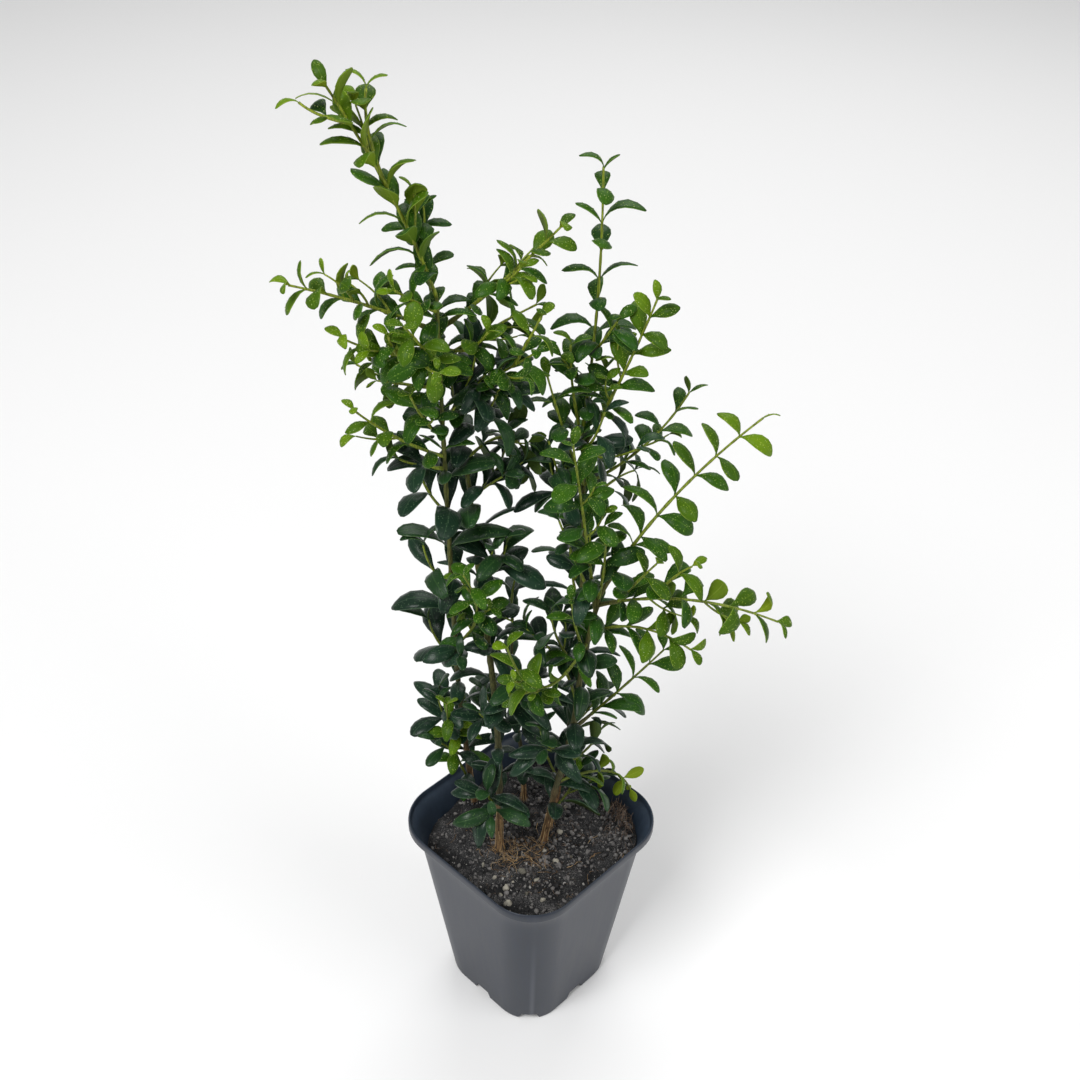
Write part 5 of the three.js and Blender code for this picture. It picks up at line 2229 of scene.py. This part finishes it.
            shape = self.blade.build(leaves.rows(which))
            seat(make_mesh(f"leaves_{kind.name.lower()}", shape, kind.skins()), masses)
        return leaves


@dataclass
class Dew:
    """Small drops of water on the upper sides of the younger leaves.

    They lie between two shares of a leaf's length and reach to a share of its half width. A
    drop's foot is lifted over the middle of the blade, its ring is sunk below that, and its
    dome is as high as a share of its radius.
    """

    least_youth: float = 0.36
    drops: int = 22
    sizes: Pair = (0.09, 0.25)
    runs: Pair = (0.15, 0.92)
    beside: float = 0.82
    lift: float = 0.17
    sunk: float = 0.05
    dome: float = 0.65
    sides: int = 5
    seed: int = 21

    def build(self, leaves: Leaves) -> None:
        """Lays the drops on the leaves, each a low dome of a few faces.

        A drop is a ring at its foot and a point above the ring's middle.

        Args:
            leaves: all the leaves.
        """
        random = np.random.default_rng(self.seed)
        wet = leaves.rows(np.flatnonzero(leaves.youth > self.least_youth))
        shape = (len(wet.root), self.drops)
        runs = random.uniform(*self.runs, shape)
        besides = random.uniform(-self.beside, self.beside, shape)
        low = wet.at(runs, besides, self.lift)
        ahead = unit(wet.at(runs + 0.01, besides, self.lift) - low)
        left = unit(wet.at(runs, besides + 0.01, self.lift) - low)
        up = unit(np.cross(ahead, left))
        left = np.cross(up, ahead)
        radii = blend(*self.sizes, random.random(shape) ** 2.5)[..., None, None]
        angles = np.arange(self.sides) * 2 * math.pi / self.sides
        flat = (ahead[..., None, :] * np.cos(angles)[:, None]
                + left[..., None, :] * np.sin(angles)[:, None])
        lower = low[..., None, :] + flat * radii - up[..., None, :] * self.sunk
        peak = low[..., None, :] + up[..., None, :] * self.dome * radii
        points = np.concatenate([lower, peak], axis=-2).reshape(-1, 3)
        ring = np.arange(self.sides)
        cap = np.stack([ring, (ring + 1) % self.sides, np.full(self.sides, self.sides)], axis=1)
        groups = [repeat_faces(faces, low[..., 0].size, self.sides + 1)
                  for faces in (cap, ring[::-1][None])]
        drops = Shape(points, groups, tone=0.5)
        seat(make_mesh("dew_drops", drops, [WaterFinish().material()]), [])


# Studio


@dataclass(frozen=True)
class Lamp:
    """One broad soft lamp, aimed at the middle of the plant; lengths in metres."""

    name: str
    place: Triple
    size: float
    watts: float
    aim: Triple = (0, 0, 0.22)

    def build(self) -> None:
        """Makes the lamp and points it at the plant."""
        light = bpy.data.lights.new(self.name, "AREA")
        light.shape = "SQUARE"
        light.size = self.size
        light.energy = self.watts
        lamp = bpy.data.objects.new(self.name, light)
        back = unit(np.array(self.place) - np.array(self.aim))
        right = unit(np.cross(UP, back))
        pose = np.eye(4)
        pose[:3] = np.stack([right, np.cross(back, right), back, np.array(self.place)], axis=1)
        lamp.matrix_world = Matrix(pose.tolist())
        bpy.context.scene.collection.objects.link(lamp)


@dataclass
class Studio:
    """Camera, lamps and floor; lengths in metres.

    The camera's place and turns were fitted to the pot's rim and base in the photograph. Its lens
    gives 1400 pixels of focal length on a frame 1080 pixels wide.
    """

    camera_place: Triple = (-0.009, -0.422, 0.575)
    pitch: float = 37.215
    pan: float = -1.391
    roll: float = -1.242
    focal_pixels: float = 1400
    frame_pixels: float = 1080
    sensor: float = 36
    nearest: float = 0.01
    floor_size: float = 12
    sky: float = 0.35
    lamps: tuple[Lamp, ...] = (
        Lamp("lamp_key", (-0.8, -1.0, 1.9), 0.9, 32),
        Lamp("lamp_fill", (1.3, -0.7, 1.2), 1.1, 9),
        Lamp("lamp_back", (0.2, 1.2, 1.5), 1.3, 11),
    )

    def camera(self) -> None:
        """Makes the camera and looks through it."""
        pitch, pan, roll = (math.radians(v) for v in (self.pitch, self.pan, self.roll))
        pose = (Matrix.Translation(self.camera_place) @ Matrix.Rotation(pan, 4, "Z")
                @ Matrix.Rotation(math.pi / 2 - pitch, 4, "X") @ Matrix.Rotation(-roll, 4, "Z"))
        data = bpy.data.cameras.new("camera")
        data.sensor_width = self.sensor
        data.lens = self.focal_pixels / self.frame_pixels * self.sensor
        data.clip_start = self.nearest
        camera = bpy.data.objects.new("camera", data)
        camera.matrix_world = pose
        bpy.context.scene.collection.objects.link(camera)
        bpy.context.scene.camera = camera

    def floor(self) -> None:
        """Makes the pale floor, a flat square under the pot."""
        half = self.floor_size / METRES / 2
        corners = np.array([[-half, -half, 0], [half, -half, 0], [half, half, 0],
                            [-half, half, 0]], float)
        shape = Shape(corners, [np.array([[0, 1, 2, 3]])])
        floor = make_mesh("studio_floor", shape, [FloorFinish().material()])

    def build(self) -> None:
        """Sets up camera, lamps, sky and floor."""
        self.camera()
        self.floor()
        for lamp in self.lamps:
            lamp.build()
        world = bpy.data.worlds.new("studio sky")
        world.use_nodes = True
        background = world.node_tree.nodes["Background"]
        background.inputs["Color"].default_value = (1, 1, 1, 1)
        background.inputs["Strength"].default_value = self.sky
        bpy.context.scene.world = world
        bpy.context.scene.view_settings.view_transform = "Standard"


def main() -> None:
    """Builds the studio, the pot, the soil, the plant and its dew."""
    logging.basicConfig(level=logging.INFO, format="%(name)s: %(message)s")
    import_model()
    Studio().build()
    pot = Pot()
    pot.build()
    Soil(pot).build()
    leaves = Plant().build()
    Dew().build(leaves)


if __name__ == "__main__":
    main()
